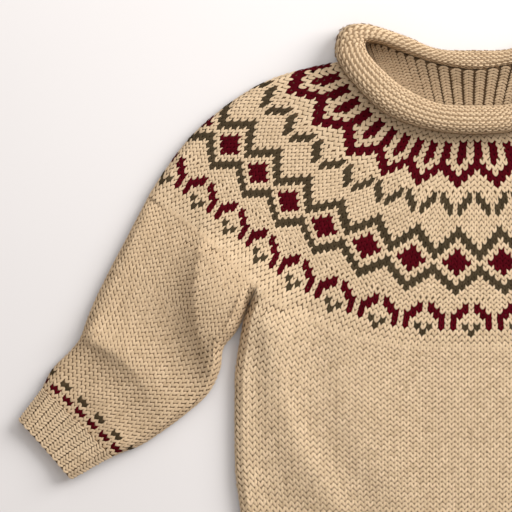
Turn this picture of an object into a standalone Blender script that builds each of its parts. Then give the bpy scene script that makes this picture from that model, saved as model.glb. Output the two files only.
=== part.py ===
"""A child's knitted pullover with a circular patterned yoke, lying flat on its back.

The garment's front faces up. X runs across it, Y from the hem to the neck and Z away from the
surface that it lies on. Left and right are those of someone who looks down on it. Every tube
(body, sleeve, cuff) lies pressed flat and is made of two walls, a front and a back, that meet
along its folds. The sizes below are millimetres.
"""

from collections import namedtuple

import bmesh
import bpy
import numpy as np

MM = 0.001
COLLECTION = "intarsia_sweater"

# Cloth
WALL = 3.0
SEAM = 0.3
LAYER_GAP = 1.0

# Heights above the surface
BACK_TOP = WALL
FRONT_UNDER = BACK_TOP + LAYER_GAP
FRONT_TOP = FRONT_UNDER + WALL
FOLD_MIDDLE = FRONT_TOP / 2

# The rounding of a fold at a tube's side, and how much fuller the tube is beside it
FOLD_ROUND = 5.0
FOLD_CROWN = 2.0
CROWN_SPREAD = 9.0
UNDERARM_FADE = 18.0

# Yoke: 40 rows, worked in the round. A column runs from the centre line to the shoulder fold.
YOKE_ROWS = 40.0
SEAM_ROWS = 0.08
UNDERARM = 0.576
UNDERARM_SPLIT = 0.0015
CROWN_FROM_ROW = 6.0
CROWN_ROWS = 12.0

Course = namedtuple("Course", "row centre quarter half three_quarters shoulder")
COURSES = (
    Course(0.0, (0.0, 127.4), (25.9, 126.7), (51.1, 135.1), (72.1, 152.6), (90.5, 176.0)),
    Course(10.0, (0.0, 87.8), (41.3, 89.6), (77.0, 102.2), (112.7, 131.6), (138.6, 164.5)),
    Course(23.5, (0.0, 34.3), (57.4, 40.6), (111.3, 63.7), (151.9, 98.0), (186.9, 133.7)),
    Course(37.0, (0.0, -12.6), (67.9, -7.0), (128.1, 20.3), (173.6, 59.5), (219.1, 95.2)),
    Course(40.0, (0.0, -25.2), (71.4, -19.6), (136.5, 7.0), (181.3, 48.3), (226.8, 83.3)),
)
BACK_NECK = ((0.0, 141.0), (25.9, 144.0), (49.7, 155.0), (69.2, 169.5), (90.5, 176.0))

# Body: half its width at a height, down to the hem
Width = namedtuple("Width", "y half")
BODY_WIDTHS = (
    Width(15.4, 148.4),
    Width(8.4, 151.7),
    Width(1.4, 155.3),
    Width(-5.6, 158.0),
    Width(-16.1, 160.4),
    Width(-26.6, 162.5),
    Width(-40.6, 165.0),
    Width(-61.6, 166.2),
    Width(-89.6, 166.8),
    Width(-117.6, 166.2),
    Width(-136.0, 163.8),
    Width(-161.7, 161.6),
    Width(-201.15, 157.5),
)
BODY_END = -161.7
HEM_END = -201.15

# Sleeve: its two side folds, a row for each section from the yoke to the cuff's edge
Section = namedtuple("Section", "outer inner")
SLEEVE_SECTIONS = (
    Section((226.8, 83.3), (148.4, 16.1)),
    Section((242.2, 53.9), (157.4, 0.4)),
    Section((257.6, 24.5), (167.2, -14.7)),
    Section((268.8, 0.7), (175.6, -25.9)),
    Section((275.8, -18.2), (177.9, -40.6)),
    Section((283.5, -28.0), (187.0, -58.1)),
    Section((293.3, -37.8), (207.2, -75.6)),
    Section((298.2, -44.8), (231.7, -92.4)),
    Section((302.3, -52.4), (252.2, -101.2)),
    Section((319.2, -74.9), (281.4, -117.6)),
)
CUFF_START = 8.0
CUFF_END = 9.0
CUFF_SEAM = 0.012
SEAM_BOW_SECTIONS = 2.0

# Ribs: one knit and one purl stitch each, raised on the side that shows
RIB_HEIGHT = 1.1
CUFF_RIBS = 10
HEM_RIBS = 40
NECK_RIBS = 24
STEPS_PER_RIB = 4

# Soft folds of the front, as ridges: the side they lie on and their crest. x counts outwards from
# the centre line. Seen along the crest, its two flanks fall away over the left and right spread.
# edge shapes the top of the left flank: 2 is round and 1 a sharp crease.
Fold = namedtuple("Fold", "side crest edge", defaults=(2.0,))
Crest = namedtuple("Crest", "x y height left right")
FOLDS = (
    # Left sleeve: the long fold beside the body, the elbow and the fuller cloth round them
    Fold(
        -1,
        (
            Crest(190.0, 58.0, 2.0, 8.0, 26.0),
            Crest(192.0, 43.0, 6.6, 9.0, 34.0),
            Crest(195.0, 22.4, 10.6, 9.5, 42.0),
            Crest(195.6, 8.4, 11.2, 9.5, 42.0),
            Crest(194.6, -5.6, 10.6, 9.0, 38.0),
            Crest(191.4, -19.6, 8.8, 8.5, 34.0),
            Crest(188.0, -33.6, 5.6, 8.0, 32.0),
            Crest(182.0, -48.0, 2.4, 8.0, 28.0),
        ),
        1.05,
    ),
    Fold(
        -1,
        (
            Crest(144.0, 46.0, 1.2, 30.0, 9.0),
            Crest(147.0, 30.0, 5.0, 38.0, 9.0),
            Crest(154.0, 15.0, 6.6, 38.0, 9.0),
            Crest(165.0, -2.0, 6.4, 32.0, 9.0),
            Crest(174.0, -20.0, 4.2, 25.0, 9.0),
            Crest(180.0, -36.0, 1.2, 14.0, 9.0),
        ),
    ),
    Fold(
        -1,
        (
            Crest(274.5, -16.5, 5.0, 5.5, 16.0),
            Crest(261.8, -23.8, 7.0, 7.0, 18.0),
            Crest(249.2, -31.5, 6.6, 9.0, 20.0),
            Crest(235.2, -45.5, 5.0, 12.0, 22.0),
            Crest(224.0, -62.0, 2.6, 14.0, 22.0),
        ),
        1.1,
    ),
    Fold(-1, (Crest(244.0, 52.0, 1.8, 14.0, 24.0), Crest(258.0, 12.0, 1.8, 14.0, 24.0))),
    Fold(-1, (Crest(262.0, -62.0, 1.2, 11.0, 10.0), Crest(250.0, -88.0, 1.4, 11.0, 10.0))),
    # Left underarm: a small pinch above it
    Fold(
        -1,
        (
            Crest(128.0, 31.0, 0.6, 5.0, 5.0),
            Crest(139.0, 23.5, 2.2, 5.0, 6.0),
            Crest(150.0, 14.0, 1.2, 5.0, 6.0),
        ),
    ),
    # Body, left: the fuller cloth below the underarm, and the shallow one next to it
    Fold(
        -1,
        (
            Crest(142.0, 3.0, 4.0, 10.0, 18.0),
            Crest(142.5, -9.0, 7.0, 10.5, 20.0),
            Crest(142.0, -23.0, 7.0, 11.5, 20.0),
            Crest(139.5, -40.0, 5.0, 13.0, 16.0),
            Crest(136.0, -61.6, 3.8, 15.0, 13.0),
            Crest(128.8, -82.6, 3.2, 18.0, 11.0),
            Crest(121.8, -100.1, 3.2, 16.0, 11.0),
            Crest(109.2, -117.6, 3.2, 16.0, 11.0),
            Crest(100.8, -131.6, 2.8, 16.0, 11.0),
            Crest(90.0, -150.0, 1.2, 16.0, 11.0),
        ),
    ),
    Fold(
        -1,
        (
            Crest(88.0, -22.0, 1.2, 12.0, 28.0),
            Crest(89.6, -61.6, 2.0, 13.0, 30.0),
            Crest(81.2, -89.6, 2.2, 14.0, 30.0),
            Crest(63.0, -117.6, 2.2, 14.0, 30.0),
            Crest(52.0, -138.0, 1.4, 14.0, 26.0),
        ),
    ),
    # Right side, much the same
    Fold(
        1,
        (
            Crest(200.0, 54.0, 1.5, 12.0, 20.0),
            Crest(201.0, 28.0, 4.4, 12.0, 24.0),
            Crest(198.0, 0.0, 5.0, 11.0, 22.0),
            Crest(193.0, -28.0, 4.2, 10.0, 16.0),
            Crest(187.0, -46.0, 2.4, 9.0, 12.0),
        ),
    ),
    Fold(
        1,
        (
            Crest(276.0, -20.0, 3.0, 6.0, 16.0),
            Crest(258.0, -29.0, 4.0, 7.0, 18.0),
            Crest(238.0, -46.0, 3.0, 11.0, 20.0),
            Crest(226.0, -64.0, 1.6, 13.0, 20.0),
        ),
    ),
    Fold(1, (Crest(140.0, 22.0, 1.8, 5.0, 6.0), Crest(150.0, 13.0, 1.0, 5.0, 6.0))),
    Fold(
        1,
        (
            Crest(138.0, 0.0, 4.0, 18.0, 16.0),
            Crest(135.0, -30.0, 4.2, 18.0, 13.0),
            Crest(128.0, -70.0, 3.0, 18.0, 13.0),
            Crest(112.0, -112.0, 2.4, 16.0, 13.0),
            Crest(98.0, -142.0, 1.2, 16.0, 13.0),
        ),
    ),
)
CREST_STEPS = 3
FOLD_CLEAR = 7.0
NECK_CLEAR_ROWS = 6.0

# Collar: the neckband rolls outwards. A row for each section of the roll, from the centre front
# round to the centre back: its outer edge, its edge at the opening, and the height of its top.
Roll = namedtuple("Roll", "outer lip top")
ROLLS = (
    Roll((0.0, 124.2), (0.0, 143.9), 25.5),
    Roll((32.2, 127.4), (26.3, 145.6), 25.5),
    Roll((62.3, 138.6), (50.5, 156.8), 25.5),
    Roll((84.7, 159.6), (66.0, 170.0), 25.0),
    Roll((95.2, 175.0), (73.6, 178.6), 24.0),
    Roll((96.9, 185.5), (76.2, 184.2), 23.0),
    Roll((91.7, 198.1), (75.0, 188.0), 21.5),
    Roll((75.6, 200.9), (65.0, 187.2), 19.5),
    Roll((50.4, 193.5), (48.4, 180.8), 17.5),
    Roll((25.9, 183.9), (25.9, 173.4), 16.5),
    Roll((0.0, 182.7), (0.0, 169.6), 16.5),
)
ROLL_CORNER = 5
ROLL_FRONT_BASE = FRONT_TOP + SEAM
ROLL_BACK_BASE = 0.0
ROLL_SQUARENESS = 0.66
ROLL_BELLY = 1.12
ROLL_STATIONS = 40
ROLL_POINTS = 14
BAND_CORNER = 0.77
BAND_CORNER_ROLL = 5.9
BAND_LIP_HEIGHT = 8.5
BAND_CORNER_HEIGHT = 2.4
BAND_END = 0.965
BAND_FADE_RIBS = 9.0
FRONT_BAND_END = 0.72

OATMEAL = (0.60, 0.46, 0.31, 1.0)
YARN_ROUGHNESS = 0.85


def smooth(knots, values, at):
    """The smooth curve through values at knots, read at each of at."""
    knots = np.asarray(knots, float)
    at = np.atleast_1d(np.asarray(at, float))
    values = np.asarray(values, float)
    if values.ndim == 2:
        values = np.repeat(values[:, None, :], len(at), axis=1)
    slopes = np.gradient(values, knots, axis=0)
    below = np.clip(np.searchsorted(knots, at) - 1, 0, len(knots) - 2)
    each = np.arange(len(at))
    step = (knots[below + 1] - knots[below])[:, None]
    part = (at - knots[below])[:, None] / step
    start, end = values[below, each], values[below + 1, each]
    leave, arrive = slopes[below, each] * step, slopes[below + 1, each] * step
    curved = (2 * part**3 - 3 * part**2 + 1) * start + (part**3 - 2 * part**2 + part) * leave
    curved += (3 * part**2 - 2 * part**3) * end + (part**3 - part**2) * arrive
    # Past its ends the curve runs on straight.
    before, after = part < 0, part > 1
    return np.where(before, start + part * leave, np.where(after, end + (part - 1) * arrive, curved))


def ease(amount):
    """0 below 0, 1 above 1 and a soft step between."""
    amount = np.clip(amount, 0.0, 1.0)
    return amount * amount * (3 - 2 * amount)


def mirrored(points):
    """Points from the centre outwards, with those of the other side before them."""
    points = np.asarray(points, float)
    return np.concatenate([points[:0:-1] * (-1, 1), points])


COLUMNS = np.linspace(-1, 1, 9)
COURSE_ROWS = [course.row for course in COURSES]
COURSE_POINTS = np.array([mirrored(course[1:]) for course in COURSES])
NECK_SHIFT = mirrored(BACK_NECK) - COURSE_POINTS[0]


def front_course(column, row):
    """A point of the front yoke: column -1 to 1 from fold to fold, row 0 at the neck."""
    column, row = np.broadcast_arrays(np.asarray(column, float), np.asarray(row, float))
    shape = column.shape
    column, row = column.ravel(), row.ravel()
    lines = np.array([smooth(COURSE_ROWS, COURSE_POINTS[:, i], row) for i in range(len(COLUMNS))])
    return smooth(COLUMNS, lines, column).reshape(*shape, 2)


def back_course(column, row):
    """The same point of the back yoke, whose neck line lies higher."""
    column, row = np.broadcast_arrays(np.asarray(column, float), np.asarray(row, float))
    shift = smooth(COLUMNS, NECK_SHIFT, column.ravel()).reshape(*column.shape, 2)
    return front_course(column, row) + shift * (1 - row / YOKE_ROWS)[..., None]


def half_width(y):
    """Half the body's width at a height."""
    y = np.asarray(y, float)
    knots = [-width.y for width in BODY_WIDTHS]
    return smooth(knots, [[width.half] for width in BODY_WIDTHS], -y.ravel()).reshape(y.shape)


def body_place(across, along):
    """A point of the body: across -1 to 1 from fold to fold, along 0 at the yoke to 1."""
    across, along = np.broadcast_arrays(np.asarray(across, float), np.asarray(along, float))
    top = front_course(across * (UNDERARM - UNDERARM_SPLIT), YOKE_ROWS)
    y = top[..., 1] + (BODY_END - top[..., 1]) * along
    lean = top[..., 0] - across * half_width(top[..., 1])
    return np.stack([across * half_width(y) + lean * (1 - along) ** 2, y], axis=-1)


def hem_place(across, along):
    """A point of the hem rib."""
    across, along = np.broadcast_arrays(np.asarray(across, float), np.asarray(along, float))
    y = BODY_END - SEAM + (HEM_END - BODY_END + SEAM) * along
    return np.stack([across * half_width(y), y], axis=-1)


def sleeve_place(side, across, section):
    """A point of a sleeve: across -1 at its outer fold to 1 at its inner one."""
    across, section = np.broadcast_arrays(np.asarray(across, float), np.asarray(section, float))
    shape = across.shape
    across, section = across.ravel(), section.ravel()
    knots = range(len(SLEEVE_SECTIONS))
    outer = smooth(knots, [row.outer for row in SLEEVE_SECTIONS], section)
    inner = smooth(knots, [row.inner for row in SLEEVE_SECTIONS], section)
    part = (across[:, None] + 1) / 2
    flat = outer + (inner - outer) * part
    # At the yoke the sleeve starts along the yoke's last row, and not on the straight line.
    first, last = 1.0, UNDERARM + UNDERARM_SPLIT
    seam = front_course(first + (last - first) * part[:, 0], YOKE_ROWS)
    chord = np.array(SLEEVE_SECTIONS[0].outer) * (1 - part) + np.array(SLEEVE_SECTIONS[0].inner) * part
    fade = ease(1 - section / SEAM_BOW_SECTIONS)[:, None]
    points = flat + (seam - chord) * fade
    return (points * (side, 1)).reshape(*shape, 2)


def crest_line(fold):
    """Close points along a fold's crest, each with the columns of its table."""
    knots = np.arange(len(fold.crest))
    return smooth(knots, fold.crest, np.linspace(0, knots[-1], CREST_STEPS * knots[-1] + 1))


CREST_LINES = [(fold, crest_line(fold)) for fold in FOLDS]


def relief(points):
    """How far the soft folds lift the front at these points."""
    lift = np.zeros(points.shape[:-1])
    for fold, line in CREST_LINES:
        local = points * (fold.side, 1)
        nearest = np.full(lift.shape, np.inf)
        rise = np.zeros(lift.shape)
        for start, end in zip(line[:-1], line[1:]):
            run = end[:2] - start[:2]
            part = np.clip(((local - start[:2]) @ run) / (run @ run), 0, 1)
            x, y, height, left, right = np.moveaxis(start + part[..., None] * (end - start), -1, 0)
            over, up = local[..., 0] - x, local[..., 1] - y
            apart = np.maximum(np.hypot(over, up), 1e-6)
            leftness = (run[0] * up - run[1] * over) / (np.linalg.norm(run) * apart)
            spread = right + (left - right) * (1 + leftness) / 2
            steep = 2 + (fold.edge - 2) * (1 + leftness) / 2
            rise = np.where(apart < nearest, height * np.exp(-((apart / spread) ** steep)), rise)
            nearest = np.minimum(nearest, apart)
        lift = lift + rise
    return lift


def quarter(amount):
    """The rise of a quarter round, 0 to 1."""
    return np.sqrt(np.clip(1 - (1 - np.clip(amount, 0, 1)) ** 2, 0, 1))


def front_outside(from_fold, folded, crown):
    """The height of the front's upper side, from_fold millimetres in from the tube's fold."""
    rim = FOLD_MIDDLE + SEAM / 2
    fuller = FOLD_CROWN * crown * np.exp(-((np.maximum(from_fold - FOLD_ROUND, 0) / CROWN_SPREAD) ** 2))
    round_top = rim + (FRONT_TOP + fuller - rim) * quarter(from_fold / FOLD_ROUND)
    return FRONT_TOP + (round_top - FRONT_TOP) * folded


def front_inside(from_fold, folded, crown):
    """The height of the front's under side, which starts one wall in from the fold."""
    rim = FOLD_MIDDLE + SEAM / 2
    fuller = FOLD_CROWN * crown * np.exp(-((np.maximum(from_fold - FOLD_ROUND, 0) / CROWN_SPREAD) ** 2))
    rise = quarter((from_fold - WALL) / (FOLD_ROUND - WALL))
    round_top = rim + (FRONT_UNDER + fuller - rim) * rise
    return FRONT_UNDER + (round_top - FRONT_UNDER) * folded


def back_outside(from_fold, folded):
    """The height of the back's under side: flat on the surface, rounded up at the fold."""
    rim = FOLD_MIDDLE - SEAM / 2
    return rim * (1 - quarter(from_fold / rim)) * folded


def back_inside(from_fold, folded):
    """The height of the back's upper side, level but for its edge at the fold."""
    rim = FOLD_MIDDLE - SEAM / 2
    return BACK_TOP + (rim - BACK_TOP) * (1 - quarter((from_fold - WALL) / WALL)) * folded


def stations(half, spacing):
    """Places across a tube, -1 to 1: close together at its folds, evenly spaced between."""
    close = [0.0, 0.8, 2.6, FOLD_ROUND, 2 * FOLD_ROUND]
    count = max(2, round((half - close[-1]) / spacing) + 1)
    inner = np.linspace(close[-1], half, count)[1:]
    one_side = 1 - np.concatenate([close, inner]) / half
    return np.concatenate([-one_side, one_side[-2::-1]])


def rib_stations(ribs):
    """Places across a ribbed tube, with STEPS_PER_RIB for each rib."""
    return np.linspace(-1, 1, ribs * STEPS_PER_RIB + 1)


def rib_relief(across, ribs):
    """The rise of a rib: a rounded crest between two narrow valleys."""
    return RIB_HEIGHT * abs(np.sin(np.pi / 2 * ribs * (across + 1)))


def loft(name, outside, inside):
    """A closed wall between two sheets of points, each given as rows of the same length."""
    mesh_data = bmesh.new()
    rings = [list(upper) + list(lower[::-1]) for upper, lower in zip(outside, inside)]
    made = [[mesh_data.verts.new(point) for point in np.asarray(ring) * MM] for ring in rings]
    count = len(made[0])
    for ring, after in zip(made[:-1], made[1:]):
        for i in range(count):
            j = (i + 1) % count
            mesh_data.faces.new((ring[i], ring[j], after[j], after[i]))
    for ring in (made[0], made[-1]):
        for i in range(count // 2 - 1):
            mesh_data.faces.new((ring[i], ring[i + 1], ring[count - 2 - i], ring[count - 1 - i]))
    bmesh.ops.recalc_face_normals(mesh_data, faces=mesh_data.faces)
    return finish(name, mesh_data)


def finish(name, mesh_data):
    """The object of a mesh, smooth, in the garment's collection and with its own yarn."""
    mesh = bpy.data.meshes.new(name)
    mesh_data.to_mesh(mesh)
    mesh_data.free()
    mesh.shade_smooth()
    mesh.set_sharp_from_angle(angle=np.radians(50))
    made = bpy.data.objects.new(name, mesh)
    made.data.materials.append(yarn(name + "_yarn", OATMEAL))
    bpy.data.collections[COLLECTION].objects.link(made)
    return made


def yarn(name, colour):
    """A plain matt wool."""
    material = bpy.data.materials.new(name)
    material.use_nodes = True
    shader = material.node_tree.nodes["Principled BSDF"]
    shader.inputs["Base Color"].default_value = colour
    shader.inputs["Roughness"].default_value = YARN_ROUGHNESS
    shader.inputs["Metallic"].default_value = 0.0
    return material


def with_height(points, height):
    """Plan points and their heights as one array."""
    return np.concatenate([points, np.broadcast_to(height, points.shape[:-1])[..., None]], axis=-1)


def always(value):
    return lambda *places: value


def front_wall(name, place, across, along, half, folded, crown, ribs=0, clear=always(1.0)):
    """The front of a flat tube. half is half its width, folded how far its edge is a fold."""
    across, along = np.meshgrid(across, along)
    half, fold, fuller = half(along), folded(across, along), crown(along)

    def lifted(points, from_fold):
        held_down = fold * (1 - ease(from_fold / FOLD_CLEAR))
        return relief(points) * (1 - held_down) * clear(along)

    points = place(across, along)
    from_fold = (1 - abs(across)) * half
    upper = front_outside(from_fold, fold, fuller) + lifted(points, from_fold)
    if ribs:
        upper = upper + rib_relief(across, ribs) * quarter(from_fold / FOLD_ROUND)
    inner_across = across * (1 - WALL * fold / half)
    inner_points = place(inner_across, along)
    from_fold = (1 - abs(inner_across)) * half
    lower = front_inside(from_fold, fold, fuller) + lifted(inner_points, from_fold)
    return loft(name, with_height(points, upper), with_height(inner_points, lower))


def back_wall(name, place, across, along, half, folded):
    """The back of a flat tube, whose under side lies on the surface."""
    across, along = np.meshgrid(across, along)
    half, fold = half(along), folded(across, along)
    inner_across = across * (1 - WALL * fold / half)
    lower = back_outside((1 - abs(across)) * half, fold)
    upper = back_inside((1 - abs(inner_across)) * half, fold)
    outside = with_height(place(across, along), lower)
    inside = with_height(place(inner_across, along), upper)
    return loft(name, outside, inside)


def course_length(along):
    """Half the length of a yoke row, along 0 to 1 from the neck."""
    columns = np.linspace(0, 1, 21)
    rows = np.atleast_1d(along).ravel() * YOKE_ROWS
    lines = front_course(columns[None, :], rows[:, None])
    lengths = np.hypot(*np.moveaxis(np.diff(lines, axis=1), -1, 0)).sum(axis=1)
    return lengths.reshape(np.shape(along))


def make_yoke():
    """The patterned yoke, worked in the round: its front and its back half."""
    first, last = SEAM_ROWS / YOKE_ROWS, 1 - SEAM_ROWS / YOKE_ROWS

    def front_place(across, along):
        return front_course(across, along * YOKE_ROWS)

    def back_place(across, along):
        return back_course(across, along * YOKE_ROWS)

    def crown(along):
        return ease((along * YOKE_ROWS - CROWN_FROM_ROW) / CROWN_ROWS)

    def clear(along):
        return ease((along * YOKE_ROWS - NECK_CLEAR_ROWS) / NECK_CLEAR_ROWS)

    across, along = stations(220, 14), np.linspace(first, last, 13)
    front_wall("yoke_front", front_place, across, along, course_length, always(1.0), crown, clear=clear)
    across, along = stations(220, 16), np.linspace(first, last, 7)
    back_wall("yoke_back", back_place, across, along, course_length, always(1.0))


def body_fold(across, along):
    """The body's edge becomes a fold just below the underarm."""
    return ease(along * (BODY_WIDTHS[0].y - BODY_END) / UNDERARM_FADE)


def body_half(along):
    return half_width(BODY_WIDTHS[0].y + (BODY_END - BODY_WIDTHS[0].y) * along)


def hem_half(along):
    return half_width(BODY_END + (HEM_END - BODY_END) * along)


def make_body():
    """The body below the yoke, and the rib at its hem."""
    rows = np.concatenate([[0, 0.03, 0.07, 0.12], np.linspace(0.18, 1, 12)])
    front_wall("body_front", body_place, stations(168, 12), rows, body_half, body_fold, body_fold_crown)
    few = np.concatenate([[0, 0.05, 0.12], np.linspace(0.2, 1, 5)])
    back_wall("body_back", body_place, stations(168, 16), few, body_half, body_fold)
    front_wall(
        "hem_front",
        hem_place,
        rib_stations(HEM_RIBS),
        np.linspace(0, 1, 3),
        hem_half,
        always(1.0),
        always(1.0),
        ribs=HEM_RIBS,
    )
    back_wall("hem_back", hem_place, stations(164, 60), np.linspace(0, 1, 3), hem_half, always(1.0))


def body_fold_crown(along):
    return body_fold(0, along)


def sleeve_half(section):
    """Half the width of a sleeve at a section."""
    outer = sleeve_place(1, -1.0, section)
    inner = sleeve_place(1, 1.0, section)
    return np.hypot(*np.moveaxis(outer - inner, -1, 0)) / 2


def make_sleeve(side, name):
    """One sleeve from the yoke to its cuff, and the ribbed cuff."""

    def place(across, section):
        return sleeve_place(side, across, section)

    def folded(across, section):
        return np.where(across > 0, ease(section), 1.0)

    rows = np.concatenate([[0.0, 0.3, 0.6], np.linspace(1, CUFF_START - CUFF_SEAM, 17)])
    front_wall(f"sleeve_{name}_front", place, stations(46, 6), rows, sleeve_half, folded, ease)
    few = np.concatenate([[0.0, 0.4], np.linspace(1, CUFF_START - CUFF_SEAM, 8)])
    back_wall(f"sleeve_{name}_back", place, stations(46, 12), few, sleeve_half, folded)
    cuff = np.linspace(CUFF_START, CUFF_END, 3)
    front_wall(
        f"cuff_{name}_front",
        place,
        rib_stations(CUFF_RIBS),
        cuff,
        sleeve_half,
        always(1.0),
        always(1.0),
        ribs=CUFF_RIBS,
    )
    back_wall(f"cuff_{name}_back", place, stations(28, 20), cuff, sleeve_half, always(1.0))


def ring_tables():
    """The roll's sections all the way round, so that its curves run on past both centres."""
    count = len(ROLLS)
    order = list(range(count - 1, 0, -1)) + list(range(count)) + list(range(count - 2, 0, -1))
    signs = [-1] * (count - 1) + [1] * count + [-1] * (count - 2)
    knots = np.arange(len(order)) - (count - 1)
    outer = [np.array(ROLLS[i].outer) * (sign, 1) for i, sign in zip(order, signs)]
    lip = [np.array(ROLLS[i].lip) * (sign, 1) for i, sign in zip(order, signs)]
    top = [[ROLLS[i].top] for i in order]
    return knots, outer, lip, top


def roll_edges(station):
    """The roll's outer edge, its edge at the opening and its top: station 0 is the centre front."""
    knots, outer, lip, top = ring_tables()
    return smooth(knots, outer, station), smooth(knots, lip, station), smooth(knots, top, station)


def make_roll(name, first, last, base):
    """A stretch of the rolled edge, one rounded form that is flat where it rests."""
    outer, lip, top = roll_edges(np.linspace(first, last, ROLL_STATIONS + 1))
    # Each end stands back from the other stretch by half a seam.
    for edge in (outer, lip):
        for end, inner in ((0, 1), (-1, -2)):
            step = edge[inner] - edge[end]
            edge[end] += step / np.linalg.norm(step) * SEAM / 2
    angles = np.linspace(0, 2 * np.pi, ROLL_POINTS, endpoint=False)
    reach = np.sign(np.cos(angles)) * abs(np.cos(angles)) ** ROLL_SQUARENESS
    rise = np.sign(np.sin(angles)) * abs(np.sin(angles)) ** ROLL_SQUARENESS
    rise = np.where(rise < 0, rise * ROLL_BELLY, rise)
    middle, half = (outer + lip) / 2, (outer - lip) / 2
    points = middle[:, None, :] + half[:, None, :] * reach[None, :, None]
    height = (top - base) / 2
    level = np.maximum(base + height + height * rise[None, :], base)
    rings = with_height(points, level)
    split = ROLL_POINTS // 2
    return loft(name, rings[:, :split], rings[:, :split - 1:-1])


def make_collar():
    """The ribbed neckband and the edge that rolls outwards over it."""
    around = 2 * (len(ROLLS) - 1)
    make_roll("collar_front", -ROLL_CORNER, ROLL_CORNER, ROLL_FRONT_BASE)
    make_roll("collar_back", ROLL_CORNER, around - ROLL_CORNER, ROLL_BACK_BASE)

    # The back of the band rises from the yoke to the roll, and its ribs show in the neck.
    across, along = np.meshgrid(rib_stations(NECK_RIBS), np.linspace(0, 1, 5))
    start = back_course(across * BAND_CORNER, -SEAM_ROWS)
    station = (len(ROLLS) - 1) - (len(ROLLS) - 1 - BAND_CORNER_ROLL) * across
    end = roll_edges(station.ravel())[1].reshape(*station.shape, 2)
    points = start + (end - start) * along[..., None] * BAND_END
    rise = BAND_LIP_HEIGHT + (BAND_CORNER_HEIGHT - BAND_LIP_HEIGHT) * ease(abs(across)) ** 2
    under = rise * along**2
    ribs = rib_relief(across, NECK_RIBS) * ease(BAND_FADE_RIBS * (1 - abs(across)))
    loft("neckband_back", with_height(points, under + WALL + ribs), with_height(points, under))

    # The front of the band lies under the roll.
    across, along = np.meshgrid(np.linspace(-1, 1, 25), np.linspace(0, 1, 2))
    start = front_course(across, -SEAM_ROWS)
    end = roll_edges((across * ROLL_CORNER).ravel())[1].reshape(*across.shape, 2)
    points = start + (end - start) * along[..., None] * FRONT_BAND_END
    loft("neckband_front", with_height(points, FRONT_TOP), with_height(points, FRONT_UNDER))


def main():
    for old in list(bpy.data.objects):
        bpy.data.objects.remove(old, do_unlink=True)
    bpy.context.scene.collection.children.link(bpy.data.collections.new(COLLECTION))
    make_yoke()
    make_body()
    make_sleeve(-1, "left")
    make_sleeve(1, "right")
    make_collar()


main()
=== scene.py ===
"""The looks of a child's knitted pullover with a round patterned yoke, lying flat on a pale surface.

Every stitch is real yarn: stocking-stitch legs, rib wales and the purl bumps of the rolled collar.
The sizes are millimetres, as on the knitted garment, and MM makes them metres.
"""

from collections import namedtuple
from functools import partial

import bmesh
import bpy
import numpy as np
from mathutils import Matrix, Vector


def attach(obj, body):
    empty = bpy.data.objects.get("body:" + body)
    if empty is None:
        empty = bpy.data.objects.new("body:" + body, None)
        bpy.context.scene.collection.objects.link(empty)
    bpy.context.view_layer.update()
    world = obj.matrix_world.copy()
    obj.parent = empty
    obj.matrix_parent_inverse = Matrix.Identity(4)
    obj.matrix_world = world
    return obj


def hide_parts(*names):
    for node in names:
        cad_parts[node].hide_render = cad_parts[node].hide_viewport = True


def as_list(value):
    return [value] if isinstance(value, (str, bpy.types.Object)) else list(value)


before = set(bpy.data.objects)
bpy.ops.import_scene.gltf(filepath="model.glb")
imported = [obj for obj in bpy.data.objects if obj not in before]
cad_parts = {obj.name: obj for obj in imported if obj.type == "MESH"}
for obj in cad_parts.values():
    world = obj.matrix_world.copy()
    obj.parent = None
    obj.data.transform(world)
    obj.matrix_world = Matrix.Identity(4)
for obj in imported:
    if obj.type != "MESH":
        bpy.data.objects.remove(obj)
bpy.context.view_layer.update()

MM = 0.001
LEFT, RIGHT = -1, 1

# ---------------- the garment's own sizes

# The two walls lie flat, one on the other, and meet at rounded folds
WALL = 3.0
SEAM = 0.3
BACK_TOP = WALL
FRONT_UNDER = BACK_TOP + 1.0
FRONT_TOP = FRONT_UNDER + WALL
FOLD_MIDDLE = FRONT_TOP / 2
BACK_RIM = FOLD_MIDDLE - SEAM / 2
FOLD_ROUND = 5.0
FOLD_CROWN = 2.0
CROWN_SPREAD = 9.0
UNDERARM_FADE = 18.0

# The yoke is drawn by five of its courses, from the centre front to the shoulder's fold
YOKE_ROWS = 40
SEAM_ROWS = 0.08
UNDERARM = 0.576
UNDERARM_SPLIT = 0.0015
CROWN_FROM_ROW = 6.0
CROWN_ROWS = 12.0

Course = namedtuple("Course", "row centre quarter half three_quarters shoulder")
COURSES = (
    Course(0, (0, 127.4), (25.9, 126.7), (51.1, 135.1), (72.1, 152.6), (90.5, 176)),
    Course(10, (0, 87.8), (41.3, 89.6), (77, 102.2), (112.7, 131.6), (138.6, 164.5)),
    Course(23.5, (0, 34.3), (57.4, 40.6), (111.3, 63.7), (151.9, 98), (186.9, 133.7)),
    Course(37, (0, -12.6), (67.9, -7), (128.1, 20.3), (173.6, 59.5), (219.1, 95.2)),
    Course(40, (0, -25.2), (71.4, -19.6), (136.5, 7), (181.3, 48.3), (226.8, 83.3)),
)
BACK_NECK = ((0, 141), (25.9, 144), (49.7, 155), (69.2, 169.5), (90.5, 176))

# The body's half width at heights from the yoke down
BODY_WIDTHS = (
    (15.4, 148.4), (8.4, 151.7), (1.4, 155.3), (-5.6, 158), (-16.1, 160.4), (-26.6, 162.5),
    (-40.6, 165), (-61.6, 166.2), (-89.6, 166.8), (-117.6, 166.2), (-136, 163.8), (-161.7, 161.6),
    (-201.15, 157.5),
)
BODY_START = BODY_WIDTHS[0][0]
BODY_END = -161.7
HEM_END = -201.15

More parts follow.
